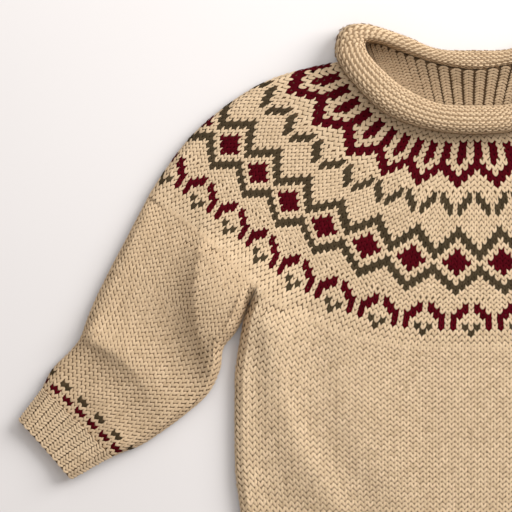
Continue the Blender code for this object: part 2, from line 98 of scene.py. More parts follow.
# The sleeve is drawn by its two folds, section by section
Section = namedtuple("Section", "outer inner")
SLEEVE_SECTIONS = (
    Section((226.8, 83.3), (148.4, 16.1)),
    Section((242.2, 53.9), (157.4, 0.4)),
    Section((257.6, 24.5), (167.2, -14.7)),
    Section((268.8, 0.7), (175.6, -25.9)),
    Section((275.8, -18.2), (177.9, -40.6)),
    Section((283.5, -28), (187, -58.1)),
    Section((293.3, -37.8), (207.2, -75.6)),
    Section((298.2, -44.8), (231.7, -92.4)),
    Section((302.3, -52.4), (252.2, -101.2)),
    Section((319.2, -74.9), (281.4, -117.6)),
)
CUFF_START = 8.0
CUFF_END = 9.0
CUFF_SEAM = 0.012
SEAM_BOW_SECTIONS = 2.0
SLEEVE_STEP = 0.02
EDGE_SAMPLES = 200

RIB_HEIGHT = 1.1
CUFF_RIBS = 10
HEM_RIBS = 40
NECK_RIBS = 24

# A soft fold of the front. A point of its crest is x, y, its height, and how wide the flanks to the left
# and right of it are. edge shapes the top of the left flank: 2 is round and 1 a sharp crease.
Fold = namedtuple("Fold", "side crest edge", defaults=(2,))
FOLDS = (
    # Left sleeve: the long fold beside the body, the elbow and the fuller cloth round them
    Fold(LEFT, (
        (190, 58, 2, 8, 26), (192, 43, 6.6, 9, 34), (195, 22.4, 10.6, 9.5, 42),
        (195.6, 8.4, 11.2, 9.5, 42), (194.6, -5.6, 10.6, 9, 38), (191.4, -19.6, 8.8, 8.5, 34),
        (188, -33.6, 5.6, 8, 32), (182, -48, 2.4, 8, 28),
    ), 1.05),
    Fold(LEFT, (
        (144, 46, 1.2, 30, 9), (147, 30, 5, 38, 9), (154, 15, 6.6, 38, 9),
        (165, -2, 6.4, 32, 9), (174, -20, 4.2, 25, 9), (180, -36, 1.2, 14, 9),
    )),
    Fold(LEFT, (
        (274.5, -16.5, 5, 5.5, 16), (261.8, -23.8, 7, 7, 18), (249.2, -31.5, 6.6, 9, 20),
        (235.2, -45.5, 5, 12, 22), (224, -62, 2.6, 14, 22),
    ), 1.1),
    Fold(LEFT, ((244, 52, 1.8, 14, 24), (258, 12, 1.8, 14, 24))),
    Fold(LEFT, ((262, -62, 1.2, 11, 10), (250, -88, 1.4, 11, 10))),
    # Left underarm: a small pinch above it
    Fold(LEFT, (
        (128, 31, 0.6, 5, 5), (139, 23.5, 2.2, 5, 6), (150, 14, 1.2, 5, 6),
    )),
    # Body, left: the fuller cloth below the underarm, and the shallow one next to it
    Fold(LEFT, (
        (142, 3, 4, 10, 18), (142.5, -9, 7, 10.5, 20), (142, -23, 7, 11.5, 20),
        (139.5, -40, 5, 13, 16), (136, -61.6, 3.8, 15, 13), (128.8, -82.6, 3.2, 18, 11),
        (121.8, -100.1, 3.2, 16, 11), (109.2, -117.6, 3.2, 16, 11), (100.8, -131.6, 2.8, 16, 11),
        (90, -150, 1.2, 16, 11),
    )),
    Fold(LEFT, (
        (88, -22, 1.2, 12, 28), (89.6, -61.6, 2, 13, 30), (81.2, -89.6, 2.2, 14, 30),
        (63, -117.6, 2.2, 14, 30), (52, -138, 1.4, 14, 26),
    )),
    # Right side, much the same
    Fold(RIGHT, (
        (200, 54, 1.5, 12, 20), (201, 28, 4.4, 12, 24), (198, 0, 5, 11, 22),
        (193, -28, 4.2, 10, 16), (187, -46, 2.4, 9, 12),
    )),
    Fold(RIGHT, (
        (276, -20, 3, 6, 16), (258, -29, 4, 7, 18), (238, -46, 3, 11, 20),
        (226, -64, 1.6, 13, 20),
    )),
    Fold(RIGHT, ((140, 22, 1.8, 5, 6), (150, 13, 1, 5, 6))),
    Fold(RIGHT, (
        (138, 0, 4, 18, 16), (135, -30, 4.2, 18, 13), (128, -70, 3, 18, 13),
        (112, -112, 2.4, 16, 13), (98, -142, 1.2, 16, 13),
    )),
)
CREST_STEPS = 3
FOLD_CLEAR = 7.0
NECK_CLEAR_ROWS = 6.0

# The rolled collar from the centre front to the centre back: its outer edge, its edge at the opening
# and its top
Roll = namedtuple("Roll", "outer lip top")
ROLLS = (
    Roll((0, 124.2), (0, 143.9), 25.5),
    Roll((32.2, 127.4), (26.3, 145.6), 25.5),
    Roll((62.3, 138.6), (50.5, 156.8), 25.5),
    Roll((84.7, 159.6), (66, 170), 25),
    Roll((95.2, 175), (73.6, 178.6), 24),
    Roll((96.9, 185.5), (76.2, 184.2), 23),
    Roll((91.7, 198.1), (75, 188), 21.5),
    Roll((75.6, 200.9), (65, 187.2), 19.5),
    Roll((50.4, 193.5), (48.4, 180.8), 17.5),
    Roll((25.9, 183.9), (25.9, 173.4), 16.5),
    Roll((0, 182.7), (0, 169.6), 16.5),
)
ROLL_CORNER = 5
ROLL_FRONT_BASE = FRONT_TOP + SEAM
ROLL_BACK_BASE = 0.0
ROLL_SQUARENESS = 0.66
ROLL_BELLY = 1.12
BAND_CORNER = 0.77
BAND_CORNER_ROLL = 5.9
BAND_LIP_HEIGHT = 8.5
BAND_CORNER_HEIGHT = 2.4
BAND_END = 0.965
BAND_FADE_RIBS = 9.0
FRONT_BAND_END = 0.72

# ---------------- knitting

# Stitches across one wall of the yoke, from the neck to its last row
Round = namedtuple("Round", "first_row stitches")
YOKE_ROUNDS = (Round(0, 48), Round(5, 72), Round(11, 117), Round(31, 132))
BODY_STITCHES = 76
BODY_ROWS = 39
HEM_ROWS = 16
SLEEVE_STITCHES = 28
SLEEVE_END_STITCHES = 20
SLEEVE_ROWS = 44
SLEEVE_TAPER_FROM = 12
CUFF_ROWS = 14
NECK_RIB_ROWS = 15
COLLAR_STITCH = 4.2
COLLAR_ROW = 3.3

# A stitch's yarn
OLIVE, OATMEAL, BURGUNDY = -1.0, 0.0, 1.0

# The yoke's charts. away counts stitches from the motif's centre column, over a repeat.
Motif = namedtuple("Motif", "yarn repeat centre away first_row last_row")
STROKES = (
    *(Motif(BURGUNDY, 4, 0.5, away, 2, 4) for away in (0, 2)),
    *(Motif(BURGUNDY, 6, 0.5, away, 5 + away, 6 + away) for away in range(4)),
    Motif(BURGUNDY, 6, 0.5, 3, 5, 5),
)
UPPER_CHEVRONS = tuple(Motif(OLIVE, 8, 0, away, 10 + away, 11 + away) for away in (1, 2, 3))
DIAMONDS = (
    *(Motif(OLIVE, 8, 1, away, 21 - away, 22 - away) for away in range(5)),
    *(Motif(OLIVE, 8, 1, away, 24 + away, 25 + away) for away in range(5)),
    *(Motif(BURGUNDY, 8, 1, away, 23 - (away - 2), 23 + (away - 2)) for away in (2, 3, 4)),
)
LOWER_CHEVRONS = (
    Motif(BURGUNDY, 8, -0.5, 1, 32, 33),
    Motif(BURGUNDY, 8, -0.5, 2, 33, 34),
    Motif(BURGUNDY, 8, -0.5, 3, 34, 36),
    Motif(OLIVE, 8, -0.5, 1, 36, 36),
    Motif(OLIVE, 8, -0.5, 0, 37, 37),
)
YOKE_CHART = STROKES + UPPER_CHEVRONS + DIAMONDS + LOWER_CHEVRONS

# Above the cuff: pairs of coloured stitches, by row from the cuff
Dots = namedtuple("Dots", "yarn rows_up repeat shift")
CUFF_DOTS = (Dots(BURGUNDY, 2, 3, 2), Dots(OLIVE, 4, 4, 3))

# How the yarn sits: how deep below the cloth's face, how thick, and how uneven
STITCH_SINK = 0.40
STITCH_THICK = 0.42
SEAM_STITCH_SINK = 0.22
UNDER = {"thick": 0.7, "sink": 1.2}
BUMP = {"thick": 0.62, "sink": 0.55}
RIB_FILL = 0.90
VALLEY_FILL = 0.34
VALLEY_THICK = 0.8 * STITCH_THICK
VALLEY_SINK = 0.6
NECK_RIB_FILL = 0.76
NECK_VALLEY_SINK = 1.1
SHELL_SINK = 0.40
COLOUR_PROUD = 0.35
COLOUR_FULL = 0.12
FLOOR_CLEAR = 0.4
STITCH_REACH = 0.75
CROWN_REACH = 1.35
WOBBLE = 0.07
SIZE_SPREAD = 0.05
SHADE_SPREAD = 0.35
# Painted shade: the cloth's shade value takes its colour to its yarn's darker end.
CLOTH_SHADE = -0.3

# The cloth behind the stitches: its lines along each piece, those across a rib, and those next to a fold,
# in millimetres from it
YOKE_LINES = 81
BODY_LINES = 79
SLEEVE_LINES = 73
NECK_LINES = 13
FRONT_BAND_LINES = 5
FRONT_BAND_LINES_ACROSS = 61
RIB_LINES = 8
FOLD_LINES = (0, 0.4, 1.2, 2.4, 3.7, FOLD_ROUND, 8)
ROLL_LINES = 121
ROLL_LINES_OVER = 41
ROLL_CLOTH_OUTSIDE = 0.95
ROLL_CLOTH_INSIDE = 0.70


def smooth(knots, values, at):
    """The smooth curve through values at knots, read at each of at.

    A knot has one list of numbers, or such a list for each of at."""
    knots, values, at = np.asarray(knots, float), np.asarray(values, float), np.asarray(at, float)
    shape, at = at.shape, at.ravel()
    if values.ndim == 2:
        values = np.repeat(values[:, None, :], len(at), axis=1)
    values = values.reshape(len(knots), len(at), -1)
    slopes = np.gradient(values, knots, axis=0)
    below = np.clip(np.searchsorted(knots, at) - 1, 0, len(knots) - 2)
    each = np.arange(len(at))
    step = (knots[below + 1] - knots[below])[:, None]
    part = (at - knots[below])[:, None] / step
    start, end = values[below, each], values[below + 1, each]
    leave, arrive = slopes[below, each] * step, slopes[below + 1, each] * step
    curve = (2 * part**3 - 3 * part**2 + 1) * start + (part**3 - 2 * part**2 + part) * leave
    curve += (3 * part**2 - 2 * part**3) * end + (part**3 - part**2) * arrive
    curve = np.where(part > 1, end + (part - 1) * arrive, curve)
    return np.where(part < 0, start + part * leave, curve).reshape(*shape, -1)


def paired(first, second):
    """Two sets of places, as arrays of one shape."""
    return np.broadcast_arrays(np.asarray(first, float), np.asarray(second, float))


def unit(vectors):
    return vectors / np.maximum(np.linalg.norm(vectors, axis=-1), 1e-9)[..., None]


def steps_between(points, axis=0):
    """The lengths of the steps from point to point."""
    return np.linalg.norm(np.diff(points, axis=axis), axis=-1)


def distances(line):
    """How far along a line each of its points lies."""
    return np.concatenate([[0], np.cumsum(steps_between(line))])


def ease(amount):
    """0 below 0, 1 above 1 and a soft step between."""
    amount = np.clip(amount, 0.0, 1.0)
    return amount * amount * (3 - 2 * amount)


def quarter(amount):
    """The rise of a quarter round, 0 to 1."""
    return np.sqrt(np.clip(1 - (1 - np.clip(amount, 0, 1)) ** 2, 0, 1))


def with_height(points, height):
    """Plan points and their heights as one array."""
    return np.concatenate([points, np.broadcast_to(height, points.shape[:-1])[..., None]], axis=-1)


def mirrored(points):
    """Points from the centre outwards, with those of the other side before them."""
    points = np.asarray(points, float)
    return np.concatenate([points[:0:-1] * (-1, 1), points])


# ---------------- the plan of the garment

COURSE_ROWS = [course.row for course in COURSES]
COURSE_POINTS = np.array([mirrored(course[1:]) for course in COURSES])
COLUMNS = np.linspace(-1, 1, COURSE_POINTS.shape[1])
NECK_SHIFT = mirrored(BACK_NECK) - COURSE_POINTS[0]


def front_course(column, row):
    """A point of the front yoke: column -1 to 1 from fold to fold, row 0 at the neck."""
    column, row = paired(column, row)
    curves = [smooth(COURSE_ROWS, COURSE_POINTS[:, i], row) for i in range(len(COLUMNS))]
    return smooth(COLUMNS, curves, column)


def back_course(column, row):
    """The same point of the back yoke, whose neck line lies higher."""
    column, row = paired(column, row)
    return front_course(column, row) + smooth(COLUMNS, NECK_SHIFT, column) * (1 - row / YOKE_ROWS)[..., None]


LENGTH_ROWS = np.arange(YOKE_ROWS + 1)
LENGTH_PLACES = np.linspace(0, 1, 21)
LENGTHS = steps_between(front_course(LENGTH_PLACES[None, :], LENGTH_ROWS[:, None]), 1).sum(axis=1)


def course_length(row):
    """Half the length of a yoke row."""
    return np.interp(row, LENGTH_ROWS, LENGTHS)


def half_width(y):
    """Half the body's width at a height."""
    heights, halves = np.array(BODY_WIDTHS).T
    return smooth(-heights, halves[:, None], -y)[..., 0]


def body_place(across, along):
    """A point of the body: across -1 to 1 from fold to fold, along 0 at the yoke to 1."""
    across, along = paired(across, along)
    top = front_course(across * (UNDERARM - UNDERARM_SPLIT), YOKE_ROWS)
    y = top[..., 1] + (BODY_END - top[..., 1]) * along
    lean = top[..., 0] - across * half_width(top[..., 1])
    return np.stack([across * half_width(y) + lean * (1 - along) ** 2, y], axis=-1)


def body_half(along):
    return half_width(BODY_START + (BODY_END - BODY_START) * along)


def body_folded(across, along):
    return ease(along * (BODY_START - BODY_END) / UNDERARM_FADE)


def hem_place(across, along):
    """A point of the hem rib."""
    across, along = paired(across, along)
    y = BODY_END - SEAM + (HEM_END - BODY_END + SEAM) * along
    return np.stack([across * half_width(y), y], axis=-1)


def hem_half(along):
    return half_width(BODY_END + (HEM_END - BODY_END) * along)


OUTER_EDGE = np.array([section.outer for section in SLEEVE_SECTIONS])
INNER_EDGE = np.array([section.inner for section in SLEEVE_SECTIONS])


def fold_point(edge, section):
    """A point of one of the sleeve's folds."""
    return smooth(range(len(SLEEVE_SECTIONS)), edge, section)


def edge_sections(edge):
    """How far down one of a sleeve's folds sections lie, 0 to 1, and the sections."""
    sections = np.linspace(0, CUFF_START - CUFF_SEAM, EDGE_SAMPLES)
    reached = distances(fold_point(edge, sections))
    return reached / reached[-1], sections


OUTER_SECTIONS, INNER_SECTIONS = edge_sections(OUTER_EDGE), edge_sections(INNER_EDGE)


def sleeve_edges(along):
    """The sleeve's outer and inner fold, along 0 at the yoke to 1 at the cuff.

    Both folds hold the same number of rows, so a row joins points equally far down them."""
    outer = fold_point(OUTER_EDGE, np.interp(along, *OUTER_SECTIONS))
    return outer, fold_point(INNER_EDGE, np.interp(along, *INNER_SECTIONS))


def sleeve_place(side, across, along):
    """A point of a sleeve: across -1 at its outer fold to 1 at its inner one."""
    across, along = paired(across, along)
    outer, inner = sleeve_edges(along)
    part = (across[..., None] + 1) / 2
    seam = front_course(1 + (UNDERARM + UNDERARM_SPLIT - 1) * part[..., 0], YOKE_ROWS)
    chord = OUTER_EDGE[0] * (1 - part) + INNER_EDGE[0] * part
    fade = ease(1 - np.interp(along, *INNER_SECTIONS) / SEAM_BOW_SECTIONS)[..., None]
    return (outer + (inner - outer) * part + (seam - chord) * fade) * (side, 1)


def sleeve_half(along):
    """Half the width of the sleeve, square to its folds."""
    later, before = np.minimum(along + SLEEVE_STEP, 1), np.maximum(along - SLEEVE_STEP, 0)
    run = unit(sum(sleeve_edges(later)) - sum(sleeve_edges(before)))
    outer, inner = sleeve_edges(along)
    across = inner - outer
    return abs(across[..., 0] * run[..., 1] - across[..., 1] * run[..., 0]) / 2


def sleeve_folded(across, along):
    return np.where(across > 0, sleeve_crown(along), 1.0)


def sleeve_crown(along):
    return ease(np.interp(along, *INNER_SECTIONS))


def cuff_place(side, across, along):
    """A point of a cuff, along 0 at the sleeve to 1 at its edge."""
    across, along = paired(across, along)
    section = CUFF_START + (CUFF_END - CUFF_START) * along
    outer, inner = fold_point(OUTER_EDGE, section), fold_point(INNER_EDGE, section)
    return (outer + (inner - outer) * (across[..., None] + 1) / 2) * (side, 1)


def cuff_half(along):
    return np.linalg.norm(cuff_place(1, -1, along) - cuff_place(1, 1, along), axis=-1) / 2


# ---------------- soft folds and the walls of the flat tubes


def crest_line(fold):
    """Close points along a fold's crest, each with the columns of its table."""
    knots = np.arange(len(fold.crest))
    return smooth(knots, fold.crest, np.linspace(0, knots[-1], CREST_STEPS * knots[-1] + 1))


CREST_LINES = [(fold, crest_line(fold)) for fold in FOLDS]


def relief(points):
    """How far the soft folds lift the front at these points."""
    lift = np.zeros(points.shape[:-1])
    for fold, line in CREST_LINES:
        local = points * (fold.side, 1)
        nearest = np.full(lift.shape, np.inf)
        rise = np.zeros(lift.shape)
        for start, end in zip(line[:-1], line[1:]):
            run = end[:2] - start[:2]
            part = np.clip(((local - start[:2]) @ run) / (run @ run), 0, 1)
            x, y, height, left, right = np.moveaxis(start + part[..., None] * (end - start), -1, 0)
            over, up = local[..., 0] - x, local[..., 1] - y
            apart = np.maximum(np.hypot(over, up), 1e-6)
            leftness = (run[0] * up - run[1] * over) / (np.linalg.norm(run) * apart)
            width = right + (left - right) * (1 + leftness) / 2
            steep = 2 + (fold.edge - 2) * (1 + leftness) / 2
            rise = np.where(apart < nearest, height * np.exp(-((apart / width) ** steep)), rise)
            nearest = np.minimum(nearest, apart)
        lift = lift + rise
    return lift


def front_height(level, start, from_fold, folded, crown):
    """The height of one side of the front, from_fold millimetres in from the tube's fold.

    It is level but for its edge, which begins start millimetres in, rounds up and is a little fuller."""
    rim = FOLD_MIDDLE + SEAM / 2
    fuller = FOLD_CROWN * crown * np.exp(-((np.maximum(from_fold - FOLD_ROUND, 0) / CROWN_SPREAD) ** 2))
    rounded = rim + (level + fuller - rim) * quarter((from_fold - start) / (FOLD_ROUND - start))
    return level + (rounded - level) * folded


def back_height(level, start, reach, from_fold, folded):
    """The height of one side of the back, level but for its edge, which rounds up at the fold."""
    return level + (BACK_RIM - level) * (1 - quarter((from_fold - start) / reach)) * folded


def rib_relief(across, ribs):
    """The rise of a rib: a rounded crest between two narrow valleys."""
    return RIB_HEIGHT * abs(np.sin(np.pi / 2 * ribs * (across + 1)))


def always(value):
    return lambda *places: value


class Tube:
    """A tube that lies pressed flat: place is its plan and half its half width.

    folded is how round its folds are, crown how full the front is beside them, and clear how freely its
    soft folds rise."""

    def __init__(self, place, half, folded=always(1.0), crown=always(1.0), clear=always(1.0), ribs=0):
        self.place, self.half, self.folded = place, half, folded
        self.crown, self.clear, self.ribs = crown, clear, ribs

    def plan(self, across, along, start):
        """Places in the plan, how far they are from the tube's fold, and how folded it is there.

        The edge of an inside begins start millimetres in from the fold."""
        half, folded = self.half(along), self.folded(across, along)
        across = across * (1 - start * folded / half)
        return self.place(across, along), (1 - abs(across)) * half, folded

    def front_side(self, across, along, level, start):
        """A side of the front with its soft folds, which the tube's own fold holds down."""
        points, from_fold, folded = self.plan(across, along, start)
        height = front_height(level, start, from_fold, folded, self.crown(along))
        held_down = folded * (1 - ease(from_fold / FOLD_CLEAR))
        height = height + relief(points) * (1 - held_down) * self.clear(along)
        return points, height, from_fold

    def front(self, across, along):
        """The upper side of the front."""
        points, height, from_fold = self.front_side(across, along, FRONT_TOP, 0)
        if self.ribs:
            height = height + rib_relief(across, self.ribs) * quarter(from_fold / FOLD_ROUND)
        return with_height(points, height)

    def front_under(self, across, along):
        """The inside of the front."""
        return with_height(*self.front_side(across, along, FRONT_UNDER, WALL)[:2])

    def back(self, across, along):
        """The under side of the back, flat on the surface."""
        points, from_fold, folded = self.plan(across, along, 0)
        return with_height(points, back_height(0, 0, BACK_RIM, from_fold, folded))

    def back_upper(self, across, along):
        """The inside of the back."""
        points, from_fold, folded = self.plan(across, along, WALL)
        return with_height(points, back_height(BACK_TOP, WALL, WALL, from_fold, folded))


# Round a fold the cloth is longer than its plan: plan distances for even steps along the cloth.
FOLD_STEPS = np.linspace(0, FOLD_ROUND, 60)
FOLD_RISE = (FRONT_TOP + FOLD_CROWN - FOLD_MIDDLE) * quarter(FOLD_STEPS / FOLD_ROUND)
FOLD_CLOTH = distances(np.stack([FOLD_STEPS, FOLD_RISE], axis=1))
FOLD_EXTRA = FOLD_CLOTH[-1] - FOLD_ROUND


def spread(across, half):
    """Even steps along the cloth, -1 to 1, as places across the tube's plan."""
    cloth = (1 - abs(across)) * (half + FOLD_EXTRA)
    plan = np.where(cloth < FOLD_CLOTH[-1], np.interp(cloth, FOLD_CLOTH, FOLD_STEPS), cloth - FOLD_EXTRA)
    return np.sign(across) * (1 - plan / half)


# ---------------- the rolled collar and the neckband


def ring_table():
    """The roll's sections all the way round: outer edge, lip and top in five columns."""
    half = np.array([(*roll.outer, *roll.lip, roll.top) for roll in ROLLS])
    other = half * (-1, 1, -1, 1, 1)
    return np.concatenate([other[:0:-1], half, other[-2:0:-1]])


RING = ring_table()
ROLL_BEHIND = len(ROLLS) - 1


def roll_edges(station):
    """The roll's outer edge, its edge at the opening and its top: station 0 is the centre front."""
    here = smooth(np.arange(len(RING)) - ROLL_BEHIND, RING, station)
    return here[..., :2], here[..., 2:4], here[..., 4]


def squarish(turn):
    """The sine or cosine of a round that is a little square."""
    return np.sign(turn) * abs(turn) ** ROLL_SQUARENESS


def roll_surface(base):
    """A point of the roll: station round the neck, angle 0 at its outer edge over the top to pi."""

    def surface(station, angle, shrink=1.0):
        station, angle = paired(station, angle)
        outer, lip, top = roll_edges(station)
        reach, rise = squarish(np.cos(angle)), squarish(np.sin(angle))
        rise = np.where(rise < 0, rise * ROLL_BELLY, rise)
        height = (top - base) / 2
        points = (outer + lip) / 2 + (outer - lip) / 2 * (reach * shrink)[..., None]
        level = base + height + height * rise * shrink
        return with_height(points, np.maximum(level, base + (1 - shrink) * height))

    return surface


def band_ribs(across):
    """The rise of the neckband's ribs, which fade out before its corners."""
    return rib_relief(across, NECK_RIBS) * ease(BAND_FADE_RIBS * (1 - abs(across)))


def band_surface(across, along):
    """The neckband's side that shows, across -1 to 1 and along 0 at the yoke to 1 at the roll."""
    across, along = paired(across, along)
    start = back_course(across * BAND_CORNER, -SEAM_ROWS)
    end = roll_edges(ROLL_BEHIND - (ROLL_BEHIND - BAND_CORNER_ROLL) * across)[1]
    points = start + (end - start) * along[..., None] * BAND_END
    rise = BAND_LIP_HEIGHT + (BAND_CORNER_HEIGHT - BAND_LIP_HEIGHT) * ease(abs(across)) ** 2
    return with_height(points, rise * along**2 + WALL + band_ribs(across))


def band_under(across, along):
    """The neckband's other side, without ribs."""
    return band_surface(across, along) - with_height(np.zeros((*across.shape, 2)), band_ribs(across) + WALL)


def front_band_surface(across, along):
    """The neckband's front, which lies under the roll."""
    across, along = paired(across, along)
    start, end = front_course(across, -SEAM_ROWS), roll_edges(across * ROLL_CORNER)[1]
    return with_height(start + (end - start) * along[..., None] * FRONT_BAND_END, FRONT_TOP)


def front_band_under(across, along):
    return front_band_surface(across, along) - (0, 0, WALL)


# ---------------- nodes and shaders


class Value:
    """A node's socket that takes part in Python arithmetic."""

    def __init__(self, tree, socket):
        self.tree, self.socket = tree, socket

    def __add__(self, other):
        return self.tree.maths("ADD", self, other)

    def __sub__(self, other):
        return self.tree.maths("SUBTRACT", self, other)

    def __rsub__(self, other):
        return self.tree.maths("SUBTRACT", other, self)

    def __mul__(self, other):
        return self.tree.maths("MULTIPLY", self, other)

    __radd__, __rmul__ = __add__, __mul__


class NodeTree:
    """A tree of nodes, each made and linked in one call."""

    def __init__(self, tree):
        self.tree = tree

    def node(self, kind, settings=(), output=0, **sockets):
        """An output of a new node: its settings come first, then the values or links of its sockets.

        n6 is the socket with number 6. Any other name is the socket's own, with _ for a space."""
        made = self.tree.nodes.new(kind)
        for name, setting in dict(settings).items():
            setattr(made, name, setting)
        for name, value in sockets.items():
            place = int(name[1:]) if name[0] == "n" and name[1:].isdigit() else name.replace("_", " ")
            self.join(made.inputs[place], value)
        return Value(self, made.outputs[output])

    def join(self, socket, value):
        if isinstance(value, Value):
            self.tree.links.new(value.socket, socket)
        else:
            socket.default_value = value

    def maths(self, operation, *values):
        sockets = {f"n{i}": value for i, value in enumerate(values)}
        return self.node("ShaderNodeMath", {"operation": operation}, **sockets)


class Shader(NodeTree):
    """A material and the nodes in it."""

    def __init__(self, name):
        self.material = bpy.data.materials.new(name)
        self.material.use_nodes = True
        super().__init__(self.material.node_tree)
        self.surface = self.tree.nodes["Principled BSDF"].inputs

    def clamp(self, value):
        return self.node("ShaderNodeClamp", Value=value)

    def noise(self, size, detail=2.0, roughness=0.5):
        """A noise whose lumps are about size millimetres."""
        where = self.node("ShaderNodeTexCoord", output="Object")
        ways = {"Scale": 1 / (size * MM), "Detail": detail, "Roughness": roughness}
        return self.node("ShaderNodeTexNoise", Vector=where, **ways)

    def blend(self, factor, first, second, way="MIX"):
        """Two colours mixed: sockets 6 and 7 of a colour Mix are its colours, output 2 the result."""
        settings = {"data_type": "RGBA", "blend_type": way}
        return self.node("ShaderNodeMix", settings, 2, n0=factor, n6=first, n7=second)

    def attribute(self, name):
        return self.node("ShaderNodeAttribute", {"attribute_name": name}, output=2)


# Linear colours of the three yarns, a darker and a lighter end: the heather and each stitch's own shade value
# pick between them at random, partly the yarn's uneven tone and partly painted shade of its own fibres, and
# the cloth's fixed shade value takes the darker end as painted shade.
OATMEAL_WOOL = ((0.530, 0.386, 0.242, 1), (0.672, 0.506, 0.334, 1))
BURGUNDY_WOOL = ((0.048, 0.0010, 0.0032, 1), (0.084, 0.0018, 0.0060, 1))
OLIVE_WOOL = ((0.042, 0.030, 0.016, 1), (0.071, 0.050, 0.027, 1))
WOOL_ROUGHNESS = 0.80
WOOL_ROUGHNESS_SPREAD = 0.12
WOOL_SHINE = 0.04
HEATHER_SIZE = 1.4
HEATHER_GAIN = 1.1
SHADE_GAIN = 0.5
FIBRE_SIZE = 0.22
FIBRE_GRAIN = 0.16
FIBRE_HEIGHT = 0.6
PLY_HEIGHT = 0.5
BUMP_STRENGTH = 0.3
BUMP_HEIGHT = 0.25
FLOOR_COLOURS = ((0.712, 0.684, 0.676, 1), (0.736, 0.707, 0.699, 1))
FLOOR_ROUGHNESS = 0.8
FLOOR_ROUGHNESS_SPREAD = 0.1
CLOUD_SIZE = 180.0
PLIES = 3.0
YARN_EDGE = 3.0
PLY_TURNS = 3.5


def wool(name, painted_shade_factor=1.0, warm=1.0, plied=True):
    """Soft matt wool: three yarns by the stitch's own yarn number, heathered, plied and fuzzy.

    Cloth isn't plied: it shows between the stitches, in the dark, and plainly at its ends. One factor darkens
    the colour and another makes it warmer, as painted shade: on all plied wool, and on the side of cloth that
    lies just below the stitches."""
    made = Shader(name)
    heather = made.noise(HEATHER_SIZE, detail=3.0, roughness=0.6)
    fibre = made.noise(FIBRE_SIZE, roughness=0.7)
    tone = made.clamp(heather * HEATHER_GAIN - (HEATHER_GAIN - 1) / 2 + made.attribute("shade") * SHADE_GAIN)
    oatmeal, burgundy, olive = (made.blend(tone, *pair) for pair in (OATMEAL_WOOL, BURGUNDY_WOOL, OLIVE_WOOL))
    yarn = made.attribute("yarn")
    colour = made.blend(made.clamp(yarn * YARN_EDGE - 1.0), oatmeal, burgundy)
    colour = made.blend(made.clamp(yarn * -YARN_EDGE - 1.0), colour, olive)
    behind = 1.0 if plied else made.attribute("behind")
    # Painted shade: where behind is 1, the colour is darkened by one factor and warmed by the other.
    red = fibre * FIBRE_GRAIN + (behind * (painted_shade_factor - 1.0) + 1.0) * (1 - FIBRE_GRAIN / 2)
    green = red * (behind * (warm - 1.0) + 1.0)
    blue = red * (behind * (warm**2 - 1.0) + 1.0)
    grain = made.node("ShaderNodeCombineColor", Red=red, Green=green, Blue=blue)
    made.join(made.surface["Base Color"], made.blend(1.0, colour, grain, "MULTIPLY"))
    made.join(made.surface["Roughness"], heather * WOOL_ROUGHNESS_SPREAD + WOOL_ROUGHNESS)
    made.join(made.surface["Specular IOR Level"], WOOL_SHINE)
    height = fibre * FIBRE_HEIGHT
    if plied:
        strand = made.node("ShaderNodeUVMap", {"uv_map": "Strand"})
        around, length = (made.node("ShaderNodeSeparateXYZ", output=axis, Vector=strand) for axis in "XY")
        turns = around * PLIES + length * PLY_TURNS
        height = height + made.maths("SINE", turns * (2 * np.pi)) * PLY_HEIGHT
    bump = made.node("ShaderNodeBump", Height=height, Strength=BUMP_STRENGTH, Distance=BUMP_HEIGHT * MM)
    made.join(made.surface["Normal"], bump)
    return made.material


def paper_floor():
    """The pale surface below: off-white, a touch warm, hardly uneven."""
    made = Shader("pale_surface")
    cloud = made.noise(CLOUD_SIZE)
    made.join(made.surface["Base Color"], made.blend(cloud, *FLOOR_COLOURS))
    made.join(made.surface["Roughness"], cloud * FLOOR_ROUGHNESS_SPREAD + FLOOR_ROUGHNESS)
    return made.material


# ---------------- stitches as yarn

# A strand is a row of stations along its middle: place in stitch widths and rows, height, half width
Station = namedtuple("Station", "x y z half")
LEG = (
    Station(0.045, -0.66, 0.34, 0.0),
    Station(0.110, -0.38, 0.80, 0.186),
    Station(0.250, 0.00, 0.92, 0.232),
    Station(0.390, 0.38, 0.80, 0.186),
    Station(0.455, 0.66, 0.34, 0.0),
)
FLAT_LEG = (LEG[0], LEG[2], LEG[4])
PURL_HEAD = (
    Station(-0.42, -0.10, -0.25, 0.0),
    Station(-0.22, 0.20, 0.55, 0.17),
    Station(0.00, 0.29, 0.85, 0.20),
    Station(0.22, 0.20, 0.55, 0.17),
    Station(0.42, -0.10, -0.25, 0.0),
)
PURL_FOOT = (
    Station(0.08, -0.12, -0.25, 0.0),
    Station(0.28, -0.32, 0.50, 0.17),
    Station(0.50, -0.38, 0.80, 0.20),
    Station(0.72, -0.32, 0.50, 0.17),
    Station(0.92, -0.12, -0.25, 0.0),
)
# Across a strand: sideways and up, for its left foot, its crown and its right foot. A strand is as
# thick as this where its half width is FULL_HALF, and thinner where it is narrower.
STRAND_SIDES = ((-1.0, -0.40), (0.0, 0.31), (1.0, -0.40))
FULL_HALF = 0.22
# How much a stitch fills of its cell of the map, and a strand of its lane in the stitch's cell
CELL_FILL = 0.94
LANE_FILL = 0.92
# A surface's direction is measured between places this far to each side
GRID_STEP = 2e-3
# The cloth's part of the map: the outside on the left, the inside on the right, the edge between them
SIDE_MAP_WIDTH = 0.47
INSIDE_MAP_LEFT = 0.52
EDGE_MAP = (0.48, 0.51)


def other_leg(leg):
    return tuple(Station(-station.x, *station[1:]) for station in leg)


def finished(name, mesh_data):
    mesh = bpy.data.meshes.new(name)
    mesh_data.to_mesh(mesh)
    mesh_data.free()
    return mesh


def in_scene(name, data):
    made = bpy.data.objects.new(name, data)
    bpy.context.scene.collection.objects.link(made)
    return made


